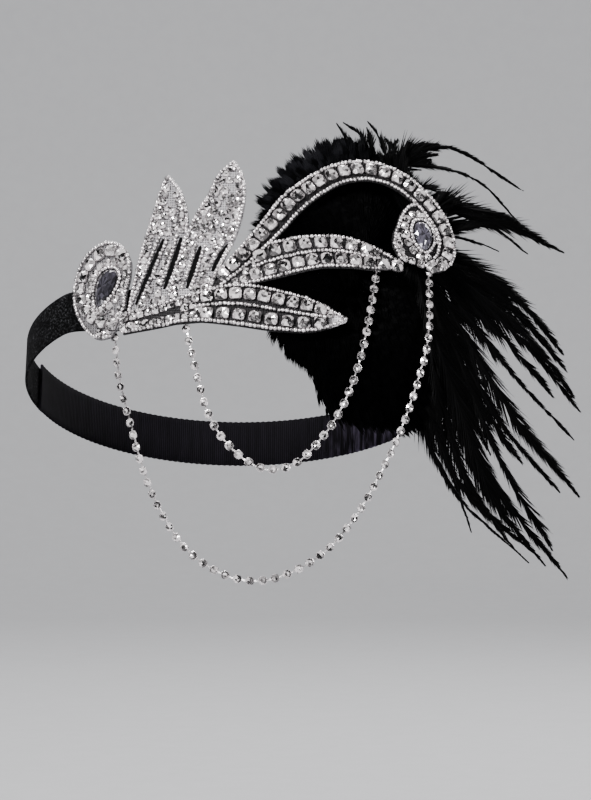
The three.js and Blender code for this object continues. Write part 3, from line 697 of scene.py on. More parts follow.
def stone_item(name, rings, dish, claws, bars=()):
    """A cut stone in its setting: rings of points from the back to the table, claws and bars.

    Each two sides of the crown share a facet's number, and so do their parts of the table.
    """
    points = [*np.concatenate(rings), np.array((0, 0, dish))]
    faces = [tuple(range(STONE_SIDES))]
    faces += ring_faces(STONE_SIDES, 0, STONE_SIDES)
    faces += ring_faces(STONE_SIDES, STONE_SIDES, 2 * STONE_SIDES)
    facets = [0] * len(faces)
    girdle, table, centre = (STONE_SIDES * ring for ring in (2, 3, 4))
    for side in range(STONE_SIDES):
        after = (side + 1) % STONE_SIDES
        faces += [
            (girdle + side, girdle + after, table + after),
            (table + side, girdle + side, table + after),
            (centre, table + side, table + after),
        ]
        facet = 1 + side // 2
        facets += [facet, facet, facet + STONE_SIDES // 2]
    add_claws(points, faces, *claws)
    for bar in bars:
        faces += tube_faces(2, len(bar) // 2, len(points))
        points += bar
    facets += [0] * (len(faces) - len(facets))
    return item_object(name, points, faces, facets)


def set_stone():
    """A round stone in a thin square setting with four claws."""
    rings = [
        cut_square(0.9, 0.62, 0.0), cut_square(0.9, 0.62, 0.28),
        circle(STONE_SIDES, 1.0, 0.46, 0.5), circle(STONE_SIDES, 0.56, 0.86),
    ]
    return stone_item("set_stone", rings, 0.76, (1.13, 0.36, 0.78))


def chain_link(half_pitch):
    """A round stone in a cup with four claws, and the bars that join it to its neighbours."""
    rings = [
        circle(STONE_SIDES, 0.8, 0.0, 0.5), circle(STONE_SIDES, 1.06, 0.6, 0.5),
        circle(STONE_SIDES, 0.98, 0.62, 0.5), circle(STONE_SIDES, 0.55, 1.08),
    ]
    bars = [
        [np.array((x, y, z)) for x in (0.6 * end, half_pitch * end) for y, z in BAR_SECTION]
        for end in (1, -1)
    ]
    return stone_item("chain_link", rings, 0.97, (1.12, 0.5, 0.96), bars)


def tube_item(name, count, rings, lift):
    """A shape along X through rings, given as radius and place, and raised off its line."""
    points = np.concatenate([circle(count, radius, at) for radius, at in rings])
    return item_object(name, points[:, [2, 0, 1]] + (0, 0, lift), tube_faces(len(rings), count))


def seed_bead():
    """A small round bead with a flattened hole end on each side."""
    bead = tube_item("seed_bead", 7, [(0.35, -0.92), (0.9, -0.5), (0.9, 0.5), (0.35, 0.92)], 0.75)
    bead.data.shade_smooth()
    return bead


def feather_item(name, barbs, width):
    """Barbs along Y from x, as thin three-sided blades that bend up and narrow to their tips."""
    points, faces = [], []
    for x, tip, curl in barbs:
        first = len(points)
        root, tip = np.array((x, 0.0, 0.0)), np.array(tip, float)
        middle = (root + tip) / 2 + (0, 0, curl)
        points += [*(root + width * BARB_SECTION)]
        points += [*(middle + BARB_NARROWING * width * BARB_SECTION), tip]
        faces += [(first, first + 1, first + 2)] + ring_faces(3, first, first + 3)
        faces += [(first + 3 + side, first + 3 + (side + 1) % 3, first + 6) for side in range(3)]
    return item_object(name, points, faces)


# Node trees

def node(tree, kind, inputs=None, **settings):
    """Adds a node, with its settings, and its inputs linked or set."""
    made = tree.nodes.new(kind)
    for key, value in settings.items():
        setattr(made, key, value)
    for key, value in (inputs or {}).items():
        if isinstance(value, bpy.types.NodeSocket):
            tree.links.new(value, made.inputs[key])
        else:
            made.inputs[key].default_value = value
    return made


def new_tree(name, **inputs):
    """A geometry tree with named inputs by kind. Returns it, its input sockets and its result."""
    tree = bpy.data.node_groups.new(name, "GeometryNodeTree")
    tree.interface.new_socket("Geometry", in_out="OUTPUT", socket_type="NodeSocketGeometry")
    for kind, labels in {"Geometry": ["Geometry"], **inputs}.items():
        for label in labels:
            tree.interface.new_socket(label, in_out="INPUT", socket_type="NodeSocket" + kind)
    given, result = tree.nodes.new("NodeGroupInput"), tree.nodes.new("NodeGroupOutput")
    return tree, given.outputs, result.inputs[0]


def maths(tree, operation, first, second):
    """The result of one step of arithmetic."""
    return node(tree, "ShaderNodeMath", {0: first, 1: second}, operation=operation).outputs[0]


def vector_maths(tree, operation, first, second):
    """The result of one step of vector arithmetic. The second value of a scale is a number."""
    inputs = {0: first, "Scale" if operation == "SCALE" else 1: second}
    return node(tree, "ShaderNodeVectorMath", inputs, operation=operation).outputs[0]


def vector(tree, x, y, z):
    """A vector of three values."""
    return node(tree, "ShaderNodeCombineXYZ", {"X": x, "Y": y, "Z": z}).outputs[0]


def above(tree, value, limit):
    """Whether a value is above a limit."""
    made = node(
        tree, "FunctionNodeCompare", {0: value, 1: limit},
        data_type="FLOAT", operation="GREATER_THAN",
    )
    return made.outputs[0]


def random_value(tree, low, high, seed):
    """A random number for each point."""
    inputs = {2: low, 3: high, "Seed": seed}
    return node(tree, "FunctionNodeRandomValue", inputs, data_type="FLOAT").outputs[1]


def either_way(tree, limit, seed):
    """A random number for each point, as far below zero as above it."""
    return random_value(tree, maths(tree, "MULTIPLY", limit, -1.0), limit, seed)


def seeds_from(tree, seed, first):
    """Five seeds in a row."""
    return [maths(tree, "ADD", seed, first + step) for step in range(5)]


def attribute(tree, name, kind="FLOAT_VECTOR"):
    """An attribute of the geometry by name."""
    made = node(tree, "GeometryNodeInputNamedAttribute", {"Name": name}, data_type=kind)
    return made.outputs["Attribute"]


def even_points(tree, geometry, spacing):
    """The lines of a mesh as curves with points at an even spacing, and their tangents."""
    line = node(tree, "GeometryNodeMeshToCurve", {"Mesh": geometry}).outputs["Curve"]
    inputs = {"Curve": line, "Length": spacing}
    even = node(tree, "GeometryNodeResampleCurve", inputs, mode="LENGTH").outputs["Curve"]
    return even, node(tree, "GeometryNodeInputTangent").outputs[0]


def facing(tree, axes, first, second):
    """The rotation that turns two axes towards two directions."""
    made = node(
        tree, "FunctionNodeAxesToRotation", {"Primary Axis": first, "Secondary Axis": second},
        primary_axis=axes[0], secondary_axis=axes[1],
    )
    return made.outputs[0]


def turned(tree, rotation, x, y, z):
    """A rotation followed by a turn about its own axes."""
    turn = node(tree, "FunctionNodeEulerToRotation", {"Euler": vector(tree, x, y, z)})
    made = node(
        tree, "FunctionNodeRotateRotation", {"Rotation": rotation, "Rotate By": turn.outputs[0]},
        rotation_space="LOCAL",
    )
    return made.outputs[0]


def set_down(tree, item, seed, **inputs):
    """An item put down on points as one mesh, each copy with a random glint of its own."""
    shape = node(tree, "GeometryNodeObjectInfo", {"Object": item}, transform_space="ORIGINAL")
    copies = node(
        tree, "GeometryNodeInstanceOnPoints", {"Instance": shape.outputs["Geometry"], **inputs},
    )
    glint = {"Name": "glint", "Value": random_value(tree, 0.0, 1.0, seed)}
    marked = node(
        tree, "GeometryNodeStoreNamedAttribute", {"Geometry": copies.outputs[0], **glint},
        data_type="FLOAT", domain="INSTANCE",
    )
    return node(tree, "GeometryNodeRealizeInstances", {"Geometry": marked.outputs[0]}).outputs[0]


def coated(tree, geometry, material, **selection):
    """Geometry with a material."""
    inputs = {"Geometry": geometry, "Material": material, **selection}
    return node(tree, "GeometryNodeSetMaterial", inputs).outputs[0]


def setting_tree(on_spots=False):
    """Sets an item along each line, or on single spots, facing out with some tilt and spread."""
    sizes = ["Size", "Size Spread", "Tilt"]
    tree, given, result = new_tree(
        "set_on_spots" if on_spots else "set_along_lines",
        Float=sizes if on_spots else ["Spacing", *sizes],
        Int=["Seed"], Object=["Item"], Material=["Setting", "Stone"],
    )
    if on_spots:
        points, run = given["Geometry"], attribute(tree, "run")
    else:
        points, run = even_points(tree, given["Geometry"], given["Spacing"])
    seeds = seeds_from(tree, given["Seed"], 0)
    tilts = [either_way(tree, given["Tilt"], seed) for seed in seeds[:3]]
    limits = [maths(tree, sign, 1.0, given["Size Spread"]) for sign in ("SUBTRACT", "ADD")]
    size = maths(tree, "MULTIPLY", given["Size"], random_value(tree, *limits, seeds[3]))
    rotation = turned(tree, facing(tree, "ZX", attribute(tree, "out"), run), *tilts)
    mesh = set_down(
        tree, given["Item"], seeds[4], Points=points, Rotation=rotation, Scale=size,
    )
    plated = coated(tree, mesh, given["Setting"])
    is_stone = above(tree, attribute(tree, "facet", "FLOAT"), 0.5)
    tree.links.new(coated(tree, plated, given["Stone"], Selection=is_stone), result)
    return tree


def barb_tree():
    """Grows barbs on both sides of each shaft, with notches where they part, and the shaft."""
    tree, given, result = new_tree(
        "barbs_along_shafts",
        Float=["Spacing", "Barb Width", "Lean", "Spread", "Parting", "Shaft"],
        Int=["Seed"], Object=["Barb"], Material=["Material"],
    )
    shafts, run = even_points(tree, given["Geometry"], given["Spacing"])
    upright = facing(tree, "ZY", attribute(tree, "out"), run)
    along = node(tree, "GeometryNodeSplineParameter").outputs["Factor"]
    closing = maths(tree, "SUBTRACT", BARB_OPEN, maths(tree, "MULTIPLY", along, BARB_CLOSE))
    joined = node(tree, "GeometryNodeJoinGeometry")
    for side, first_seed, noise_slice in BARB_SIDES:
        seeds = seeds_from(tree, given["Seed"], first_seed)
        clump = node(tree, "ShaderNodeTexNoise", {
            "Vector": node(tree, "GeometryNodeInputPosition").outputs[0], "W": noise_slice,
            "Scale": CLUMP_SCALE, "Detail": 1.0,
        }, noise_dimensions="4D").outputs["Fac"]
        waver = either_way(tree, given["Spread"], seeds[0])
        sway = maths(tree, "MULTIPLY", maths(tree, "SUBTRACT", clump, 0.5), CLUMP_SWAY)
        lean = maths(tree, "ADD", maths(tree, "MULTIPLY", given["Lean"], closing), waver)
        lean = maths(tree, "MULTIPLY", maths(tree, "ADD", lean, sway), float(side))
        lift = random_value(tree, -BARB_LIFT, BARB_LIFT, seeds[1])
        share = random_value(tree, *BARB_LENGTHS, seeds[2])
        length = maths(tree, "MULTIPLY", attribute(tree, "reach", "FLOAT"), share)
        barbs = set_down(
            tree, given["Barb"], seeds[3], Points=shafts,
            Selection=above(tree, clump, given["Parting"]),
            Rotation=turned(tree, upright, lift, 0.0, lean),
            Scale=vector(tree, given["Barb Width"], length, given["Barb Width"]),
        )
        tree.links.new(barbs, joined.inputs[0])
    taper = maths(tree, "SUBTRACT", 1.0, maths(tree, "MULTIPLY", along, SHAFT_TAPER))
    profile = {"Resolution": SHAFT_SIDES, "Radius": 1.0}
    shaft = node(tree, "GeometryNodeCurveToMesh", {
        "Curve": shafts,
        "Profile Curve": node(tree, "GeometryNodeCurvePrimitiveCircle", profile).outputs["Curve"],
        "Scale": maths(tree, "MULTIPLY", given["Shaft"], taper),
        "Fill Caps": True,
    })
    tree.links.new(shaft.outputs[0], joined.inputs[0])
    tree.links.new(coated(tree, joined.outputs[0], given["Material"]), result)
    return tree


def fluff_tree():
    """Covers a pad with locks that lie along its comb direction and lift off it."""
    tree, given, result = new_tree(
        "fluff_on_pad", Float=["Density", "Length", "Lift", "Spread"],
        Int=["Seed"], Object=["Lock"], Material=["Material"],
    )
    spots = node(
        tree, "GeometryNodeDistributePointsOnFaces",
        {"Mesh": given["Geometry"], "Density": given["Density"], "Seed": given["Seed"]},
        distribute_method="RANDOM",
    ).outputs
    seeds = seeds_from(tree, given["Seed"], 1)
    lift = maths(tree, "MULTIPLY", given["Lift"], random_value(tree, *LOCK_LIFTS, seeds[0]))
    raised = vector_maths(tree, "SCALE", spots["Normal"], lift)
    stray = vector(tree, *(either_way(tree, given["Spread"], seed) for seed in seeds[1:4]))
    loose = vector_maths(tree, "ADD", raised, stray)
    freed = vector_maths(tree, "SCALE", loose, attribute(tree, "looseness", "FLOAT"))
    direction = vector_maths(tree, "ADD", attribute(tree, "comb"), freed)
    share = random_value(tree, *LOCK_LENGTHS, seeds[4])
    locks = set_down(
        tree, given["Lock"], seeds[0], Points=spots["Points"],
        Rotation=facing(tree, "YZ", direction, spots["Normal"]),
        Scale=maths(tree, "MULTIPLY", given["Length"], share),
    )
    joined = node(tree, "GeometryNodeJoinGeometry", {0: given["Geometry"]})
    tree.links.new(locks, joined.inputs[0])
    tree.links.new(coated(tree, joined.outputs[0], given["Material"]), result)
    return tree


def grown(name, source_mesh, tree, inputs):
    """Runs a tree on a mesh and returns its result as a plain mesh."""
    source = new_object(name + "_source", source_mesh)
    modifier = source.modifiers.new(name, "NODES")
    modifier.node_group = tree
    sockets = {
        item.name: item.identifier for item in tree.interface.items_tree
        if item.item_type == "SOCKET" and item.in_out == "INPUT"
    }
    for label, value in inputs.items():
        modifier[sockets[label]] = value
    depsgraph = bpy.context.evaluated_depsgraph_get()
    mesh = bpy.data.meshes.new_from_object(
        source.evaluated_get(depsgraph), preserve_all_data_layers=True, depsgraph=depsgraph,
    )
    source.modifiers.remove(modifier)
    bpy.data.objects.remove(source)
    mesh.name = name
    return mesh


# Finishes

def set_shader(shader, **values):
    """Sets constant values on the shader's own sockets."""
    for key, value in values.items():
        shader.inputs[key.replace("_", " ").title().replace("Ior", "IOR")].default_value = value


def shade_of(colour, factor):
    """A colour made lighter or darker."""
    return tuple(min(channel * factor, 1.0) for channel in colour)


def shades(colour, *stops):
    """Stops of a ramp, given as position and factor of a colour."""
    return [(position, shade_of(colour, factor)) for position, factor in stops]


def ramp(tree, factor, stops, interpolation="LINEAR"):
    """A colour ramp with stops of position and colour."""
    made = node(tree, "ShaderNodeValToRGB", {"Fac": factor})
    made.color_ramp.interpolation = interpolation
    elements = made.color_ramp.elements
    while len(elements) < len(stops):
        elements.new(0.5)
    for element, (position, colour) in zip(elements, stops):
        element.position = position
        element.color = (*colour, 1.0)
    return made.outputs["Color"]


def paint(tree, shader, colour):
    """Links a colour to the shader."""
    tree.links.new(colour, shader.inputs["Base Color"])


def roughen(tree, shader, factor, *stops):
    """Lets the roughness follow a pattern, by stops of position and roughness."""
    tree.links.new(ramp(tree, factor, shades(WHITE, *stops)), shader.inputs["Roughness"])


def mix(tree, share, first, second):
    """A colour that gives way to another."""
    made = node(tree, "ShaderNodeMix", {0: share, 6: first, 7: second}, data_type="RGBA")
    return made.outputs[2]


def weighed(tree, first, second, share):
    """Two patterns added up, the first by a share and the second by the rest."""
    parts = [maths(tree, "MULTIPLY", first, share), maths(tree, "MULTIPLY", second, 1.0 - share)]
    return maths(tree, "ADD", *parts)


def soft_share(tree, value, start, end):
    """A soft ramp from 0 at start to 1 at end, as nodes."""
    limits = {"Value": value, "From Min": start, "From Max": end}
    made = node(tree, "ShaderNodeMapRange", limits, interpolation_type="SMOOTHSTEP")
    return made.outputs["Result"]


def bump(tree, shader, height, strength, distance):
    """Raises a surface by a height pattern."""
    inputs = {"Height": height, "Strength": strength, "Distance": distance}
    tree.links.new(node(tree, "ShaderNodeBump", inputs).outputs[0], shader.inputs["Normal"])


def noise(tree, at, scale, detail=3.0, roughness=0.6):
    """A noise pattern on a coordinate."""
    inputs = {"Vector": at, "Scale": scale, "Detail": detail, "Roughness": roughness}
    return node(tree, "ShaderNodeTexNoise", inputs).outputs["Fac"]


def wave(tree, at, direction, scale, distortion, detail=2.0):
    """A pattern of bands on a coordinate."""
    made = node(
        tree, "ShaderNodeTexWave",
        {"Vector": at, "Scale": scale, "Distortion": distortion, "Detail": detail},
        wave_type="BANDS", bands_direction=direction,
    )
    return made.outputs["Fac"]


def object_place(tree):
    """Coordinates of the piece itself."""
    return node(tree, "ShaderNodeTexCoord").outputs["Object"]


def stored(tree, name, output="Fac"):
    """An attribute that the mesh carries."""
    return node(tree, "ShaderNodeAttribute", attribute_name=name).outputs[output]


def velvet_pile(tree, shader, colours):
    """Black velvet with a short speckled pile."""
    cloth = stored(tree, "cloth", "Vector")
    nap, wear_and_sheen = noise(tree, cloth, 900.0, 3.0, 0.7), noise(tree, cloth, 160.0)
    speckle = weighed(tree, nap, wear_and_sheen, 0.8)
    stops = shades(colours.velvet, (0.42, 0.1), (0.52, 1.0), (0.59, 9.0), (0.68, 34.0))
    paint(tree, shader, ramp(tree, speckle, stops))
    set_shader(
        shader, roughness=0.9, specular_ior_level=0.03,
        sheen_weight=0.01, sheen_roughness=0.5, sheen_tint=(0.55, 0.54, 0.6, 1.0),
    )
    bump(tree, shader, speckle, 0.7, 0.4 * MM)


def ribbed_elastic(tree, shader, colours):
    """Violet-black woven elastic with fine ribs, with painted shade in the hollows of its ribs and
    gathers, painted light on their crests, and a painted sheen that makes its gathers pale at one
    end.
    """
    cloth = stored(tree, "cloth", "Vector")
    ribs, rows = wave(tree, cloth, "X", 330.0, 0.8, 1.0), wave(tree, cloth, "Y", 520.0, 0.5)
    weave = weighed(tree, ribs, rows, 0.7)
    gathers = noise(tree, vector_maths(tree, "MULTIPLY", cloth, (1.0, 0.12, 1.0)), 420.0)
    # The ribs and the folds of the gathers set the tone: painted shade in their hollows, painted
    # light on their crests
    depth = maths(tree, "MULTIPLY", weave, maths(tree, "ADD", gathers, 0.5))
    stops = shades(colours.elastic, (0.1, 0.2), (0.5, 1.0), (0.75, 2.4), (0.95, 5.0))
    # Towards one end the crests of the gathers are painted pale: a painted sheen
    across = node(tree, "ShaderNodeSeparateXYZ", {0: object_place(tree)}).outputs["X"]
    end = soft_share(tree, across, *(x * MM for x in GATHER_SHEEN_END))
    wear_and_sheen = maths(tree, "MULTIPLY", end, soft_share(tree, gathers, 0.42, 0.72))
    pale = (*shade_of(colours.elastic, 30.0), 1.0)
    paint(tree, shader, mix(tree, wear_and_sheen, ramp(tree, depth, stops), pale))
    set_shader(
        shader, roughness=0.75, specular_ior_level=0.05,
        sheen_weight=0.006, sheen_roughness=0.4, sheen_tint=(0.6, 0.52, 0.7, 1.0),
    )
    bump(tree, shader, weave, 0.55, 0.25 * MM)


def silver_net(tree, shader, colours):
    """Dark embroidered net with metal threads, which is pale where it is bare."""
    at = object_place(tree)
    net = maths(tree, "MAXIMUM", *(wave(tree, at, axis, 300.0, 1.2) for axis in "XZ"))
    glitter = noise(tree, at, 900.0, 2.0, 0.8)
    thread = maths(tree, "MULTIPLY", net, maths(tree, "ADD", glitter, 0.45))
    tones = [
        ramp(tree, thread, shades(tone, (0.15, 0.3), (0.55, 1.0), (0.95, 1.6)))
        for tone in (colours.net, colours.bare_net)
    ]
    paint(tree, shader, mix(tree, stored(tree, "bare"), *tones))
    roughen(tree, shader, glitter, (0.4, 0.3), (0.7, 0.65))
    set_shader(shader, metallic=0.25, specular_ior_level=0.14)
    bump(tree, shader, net, 0.6, 0.3 * MM)


def silver_plate(tree, shader, colours):
    """Bright silver plating, a little dulled in places."""
    at = object_place(tree)
    dull = noise(tree, at, 480.0, 4.0)
    stops = shades(colours.silver, (0.38, 0.12), (0.5, 0.7), (0.66, 1.0))
    paint(tree, shader, ramp(tree, dull, stops))
    roughen(tree, shader, dull, (0.35, 0.36), (0.7, 0.16))
    set_shader(shader, metallic=0.8)
    bump(tree, shader, noise(tree, at, 1600.0), 0.12, 0.1 * MM)


def painted_facet_reflection(tree):
    """A random number for each facet of each stone, which picks the facet's painted reflection."""
    glint = maths(tree, "MULTIPLY", stored(tree, "glint"), GLINT_SCALE)
    key = vector(tree, stored(tree, "facet"), glint, 0.0)
    return node(tree, "ShaderNodeTexWhiteNoise", {"Vector": key}).outputs["Value"]


def cut_crystal(tree, shader, colours):
    """Foil-backed clear stones, whose facets are painted bright, grey or dark at random: painted
    reflections.
    """
    tone = painted_facet_reflection(tree)
    # Each facet is painted black, grey or white at random as a painted reflection
    stops = shades(WHITE, (0.0, 0.004))
    stops += shades(colours.crystal, (0.33, 0.1), (0.46, 0.42), (0.6, 1.0))
    paint(tree, shader, ramp(tree, tone, stops, "CONSTANT"))
    roughen(tree, shader, tone, (0.0, 0.05), (1.0, 0.13))
    set_shader(shader, metallic=0.66, coat_weight=0.6, coat_roughness=0.03)


def slate_crystal(tree, shader, colours):
    """Slate-violet cut stones with cloudy depth, whose facets are painted lighter or darker at
    random as painted reflections.
    """
    cloud = noise(tree, object_place(tree), 320.0, 3.0)
    # The facets are painted lighter or darker at random as painted reflections, mixed with the
    # cloud
    tone = weighed(tree, painted_facet_reflection(tree), cloud, 0.6)
    colour = ramp(tree, tone, shades(colours.slate, (0.2, 0.3), (0.5, 1.0), (0.8, 2.4)))
    paint(tree, shader, vector_maths(tree, "SCALE", colour, stored(tree, "shade")))
    roughen(tree, shader, cloud, (0.3, 0.05), (0.8, 0.16))
    set_shader(shader, metallic=0.35, coat_weight=1.0, coat_roughness=0.04)


def black_barbs(tree, shader, colours):
    """Black plumes with a faint sheen."""
    feather_look(tree, shader, colours.feather, 0.05)


def black_fluff(tree, shader, colours):
    """The deeper black of the pad's locks."""
    feather_look(tree, shader, shade_of(colours.feather, 0.5), 0.012)


def feather_look(tree, shader, base, gloss):
    """A black feather whose tone changes from barb to barb and which is pale where it is lit."""
    patch = noise(tree, object_place(tree), 90.0)
    tone = weighed(tree, stored(tree, "glint"), patch, 0.6)
    dark = ramp(tree, tone, shades(base, (0.25, 0.4), (0.6, 1.0), (0.9, 2.2)))
    pale = ramp(tree, tone, shades(base, (0.25, 2.0), (0.55, 12.0), (0.9, 36.0)))
    paint(tree, shader, mix(tree, stored(tree, "lit"), dark, pale))
    roughen(tree, shader, tone, (0.2, 0.75), (0.9, 0.5))
    set_shader(shader, specular_ior_level=gloss)


def dark_backing(tree, shader, colours):
    """The dark strips in the slits, which are painted shade, and the black thread of the seams."""
    fuzz = noise(tree, object_place(tree), 1500.0)
    paint(tree, shader, ramp(tree, fuzz, shades(colours.velvet, (0.3, 0.4), (0.8, 1.0))))
    set_shader(shader, roughness=0.95, specular_ior_level=0.1)
    bump(tree, shader, fuzz, 0.4, 0.2 * MM)


def pale_floor(tree, shader, colours):
    """Pale studio paper."""
    fibre = noise(tree, object_place(tree), 60.0)
    paint(tree, shader, ramp(tree, fibre, shades(colours.floor, (0.3, 0.98), (0.7, 1.02))))
    set_shader(shader, roughness=0.9)


FINISHES = {fill.__name__: fill for fill in (
    velvet_pile, ribbed_elastic, silver_net, silver_plate, cut_crystal, slate_crystal,
    black_barbs, black_fluff, dark_backing, pale_floor,
)}


def finish(name):
    """A finish by name, made the first time that it is asked for."""
    made = bpy.data.materials.get(name)
    if made is None:
        made = bpy.data.materials.new(name)
        made.use_nodes = True
        shader = made.node_tree.nodes["Principled BSDF"]
        FINISHES[name](made.node_tree, shader, bpy.context.scene.headpiece_colours)
    return made


# Shapes of the pieces

def floor_mesh():
    """A round floor that sweeps up into a low wall all round."""
    sweep = np.linspace(0, math.pi / 2, FLOOR_SWEEP_RINGS)
    edge = FLOOR_FLAT + FLOOR_SWEEP
    radii = [*FLOOR_RADII, *(FLOOR_FLAT + FLOOR_SWEEP * np.sin(sweep)), edge]
    levels = [0.0] * len(FLOOR_RADII) + list(FLOOR_SWEEP * (1 - np.cos(sweep)))
    levels.append(FLOOR_SWEEP + FLOOR_WALL)
    rings = [
        circle(FLOOR_SIDES, radius, level + FLOOR_LEVEL) for radius, level in zip(radii, levels)
    ]
    *quads, disc, _ = tube_faces(len(rings), FLOOR_SIDES)
    mesh = bpy.data.meshes.new("floor")
    faces = [face[::-1] for face in quads] + [disc]
    mesh.from_pydata(np.concatenate(rings).tolist(), [], faces)
    mesh.shade_smooth()
    return mesh


def band_mesh(name, bearings, inner, outer, width, ripple):
    """A strip of the headband with rounded edges, and its length in metres."""
    half, soft = width / 2, (outer - inner) / 2
    middle = (inner + outer) / 2
    rises = np.linspace(-half + soft, half - soft, BAND_ROWS)
    angles = np.linspace(0, math.pi, BAND_TURNS)[1:-1]
    turns = [(math.cos(angle), math.sin(angle)) for angle in angles]
    section = [(inner, rise) for rise in rises]
    section += [(middle - soft * cos, half - soft + soft * sin) for cos, sin in turns]
    section += [(outer, rise) for rise in rises[::-1]]
    section += [(middle + soft * cos, -half + soft - soft * sin) for cos, sin in turns]
    offsets, ups = np.array(section).T
    along = lengths_along(band_point(bearings, middle, 0.0))
    wave_along = ripple * np.sin(along * 2 * math.pi / RIPPLE_LENGTH)[:, None]
    ripples = wave_along * np.abs(ups / half) ** RIPPLE_POWER * np.sign(ups)
    mesh = loft(name, band_point(bearings[:, None], offsets, ups + ripples))
    cloth = np.stack(np.broadcast_arrays(along[:, None], ups, offsets), axis=-1)
    set_vectors(mesh, "cloth", cloth.reshape(-1, 3) * MM)
    return mesh, along[-1] * MM


def seam_paths(sizes):
    """Two lines at each end of the ribbon, where it laps the elastic."""
    half = sizes.ribbon_width / MM / 2 - STITCH_MARGIN
    rises = np.linspace(-half, half, STITCH_STEPS)
    paths = []
    for end, inwards in ((math.pi - SEAM_BEARING, 1), (2 * math.pi + SEAM_BEARING, -1)):
        for inset in STITCH_INSETS:
            bearing = np.full(STITCH_STEPS, end + inwards * inset)
            points = band_point(bearing, sizes.ribbon_thick / MM, rises)
            outs = band_point(bearing, STITCH_OUT, rises) - band_point(bearing, 0.0, rises)
            paths.append(Path(points, unit(outs)))
    return paths


def ground_mesh(motif, tuck):
    """A motif's ground with a soft edge, its flat area, and its greatest width with its length."""
    shares = np.linspace(0, 1, GROUND_STEPS)
    line = motif_line(motif, shares)
    low, high = tuck, GROUND_THICK - tuck
    section = [
        (-1.0, low + BACK_ROUND), *((side, low) for side in GROUND_BACK), (1.0, low + BACK_ROUND),
        (1.0, high - FRONT_ROUND), *((side, high) for side in GROUND_FRONT),
        (-1.0, high - FRONT_ROUND),
    ]
    sides, heights = np.array(section).T
    wide = MotifLine(*(part[:, None] for part in line))
    mesh = loft("ground_" + motif, sheet(*aside(wide, wide.half * sides), heights)[0])
    steps = np.linalg.norm(np.diff(np.column_stack((line.u, line.w)), axis=0), axis=1)
    area = float((steps * (line.half[1:] + line.half[:-1])).sum())
    strip = (2 * float(line.half.max()) * MM, float(steps.sum()) * MM)
    bare = np.full(len(shares), PALENESS.get(motif, 0.0))
    if motif in BARE_ENDS:
        bare = smoothstep(shares, *BARE_ENDS[motif])
    set_values(mesh, "bare", np.repeat(bare, len(sides)))
    return mesh, area * MM * MM, strip


def big_stone_lines():
    """The line of each row of big stones on the flat sheet, by the solid that it stands for."""
    lines = {row.node: row_line(row, ROW_STEPS) for row in BIG_ROWS}
    paisley = smooth_path(PAISLEY_ROW, np.linspace(0, 1, ROW_STEPS))
    lines["stones_paisley_left"] = tuple(paisley.T)
    return lines


def free_places(motif, u, w, sizes, stone_lines):
    """Which places have room for a small stone beside slits, big stones and other motifs."""
    small, big, ring = (
        size / MM / 2 for size in (sizes.small_stone, sizes.big_stone, sizes.ring_stone)
    )
    taken = covered(motif, u, w, small * COVER_CLEAR)
    for slit in SLITS:
        taken |= near(u, w, *smooth_path(slit, FINE).T, SLIT_PIPING + small * SLIT_CLEAR)
    for pear in PEARS:
        taken |= inside_pear(pear, u, w, PEAR_RING + ring + small * STONE_CLEAR)
    for line in stone_lines:
        taken |= near(u, w, *line, big + small * STONE_CLEAR)
    return ~taken


def field_mesh(sizes):
    """Spots for small stones: along a motif's edges first, then inwards where one more fits."""
    apart, stone_lines = sizes.small_pitch / MM, list(big_stone_lines().values())
    spots, runs = np.full((1, 2), np.inf), np.zeros((1, 2))
    for field in FIELDS:
        line = motif_line(field.motif, np.linspace(field.start, field.end, FIELD_TRIES))
        for inset in np.arange(FIELD_EDGE, line.half.max(), FIELD_STEP):
            for offset in (line.half - inset, inset - line.half):
                u, w = aside(line, offset)
                free = free_places(field.motif, u, w, sizes, stone_lines)
                for step in np.flatnonzero(free & (line.half >= inset)):
                    if np.hypot(spots[:, 0] - u[step], spots[:, 1] - w[step]).min() >= apart:
                        spots = np.vstack((spots, (u[step], w[step])))
                        runs = np.vstack((runs, (line.side_w[step], -line.side_u[step])))
    spots, runs = spots[1:], runs[1:]
    points, outs = sheet(*spots.T, GROUND_THICK)
    ahead, _ = sheet(*(spots + runs).T, GROUND_THICK)
    mesh = bpy.data.meshes.new("small_stone_spots")
    mesh.from_pydata((points * MM).tolist(), [], [])
    set_vectors(mesh, "out", outs)
    set_vectors(mesh, "run", ahead - points)
    return mesh


def ring_paths(sizes):
    """The lines of the stones round the big stones, where no other motif lies on them."""
    paths = []
    for pear in PEARS:
        u, w = pear_ring(pear, PEAR_RING)
        keep = ~covered(pear.motif, u, w, sizes.ring_stone / MM * RING_COVER)
        if keep.all():
            paths.append(sheet_path(u, w, GROUND_THICK, True))
        else:
            u, w, keep = (np.roll(part, -int(np.argmin(keep))) for part in (u, w, keep))
            paths += [
                sheet_path(u[part], w[part], GROUND_THICK)
                for part in stretches(keep, LEAST_RING)
            ]
    return paths


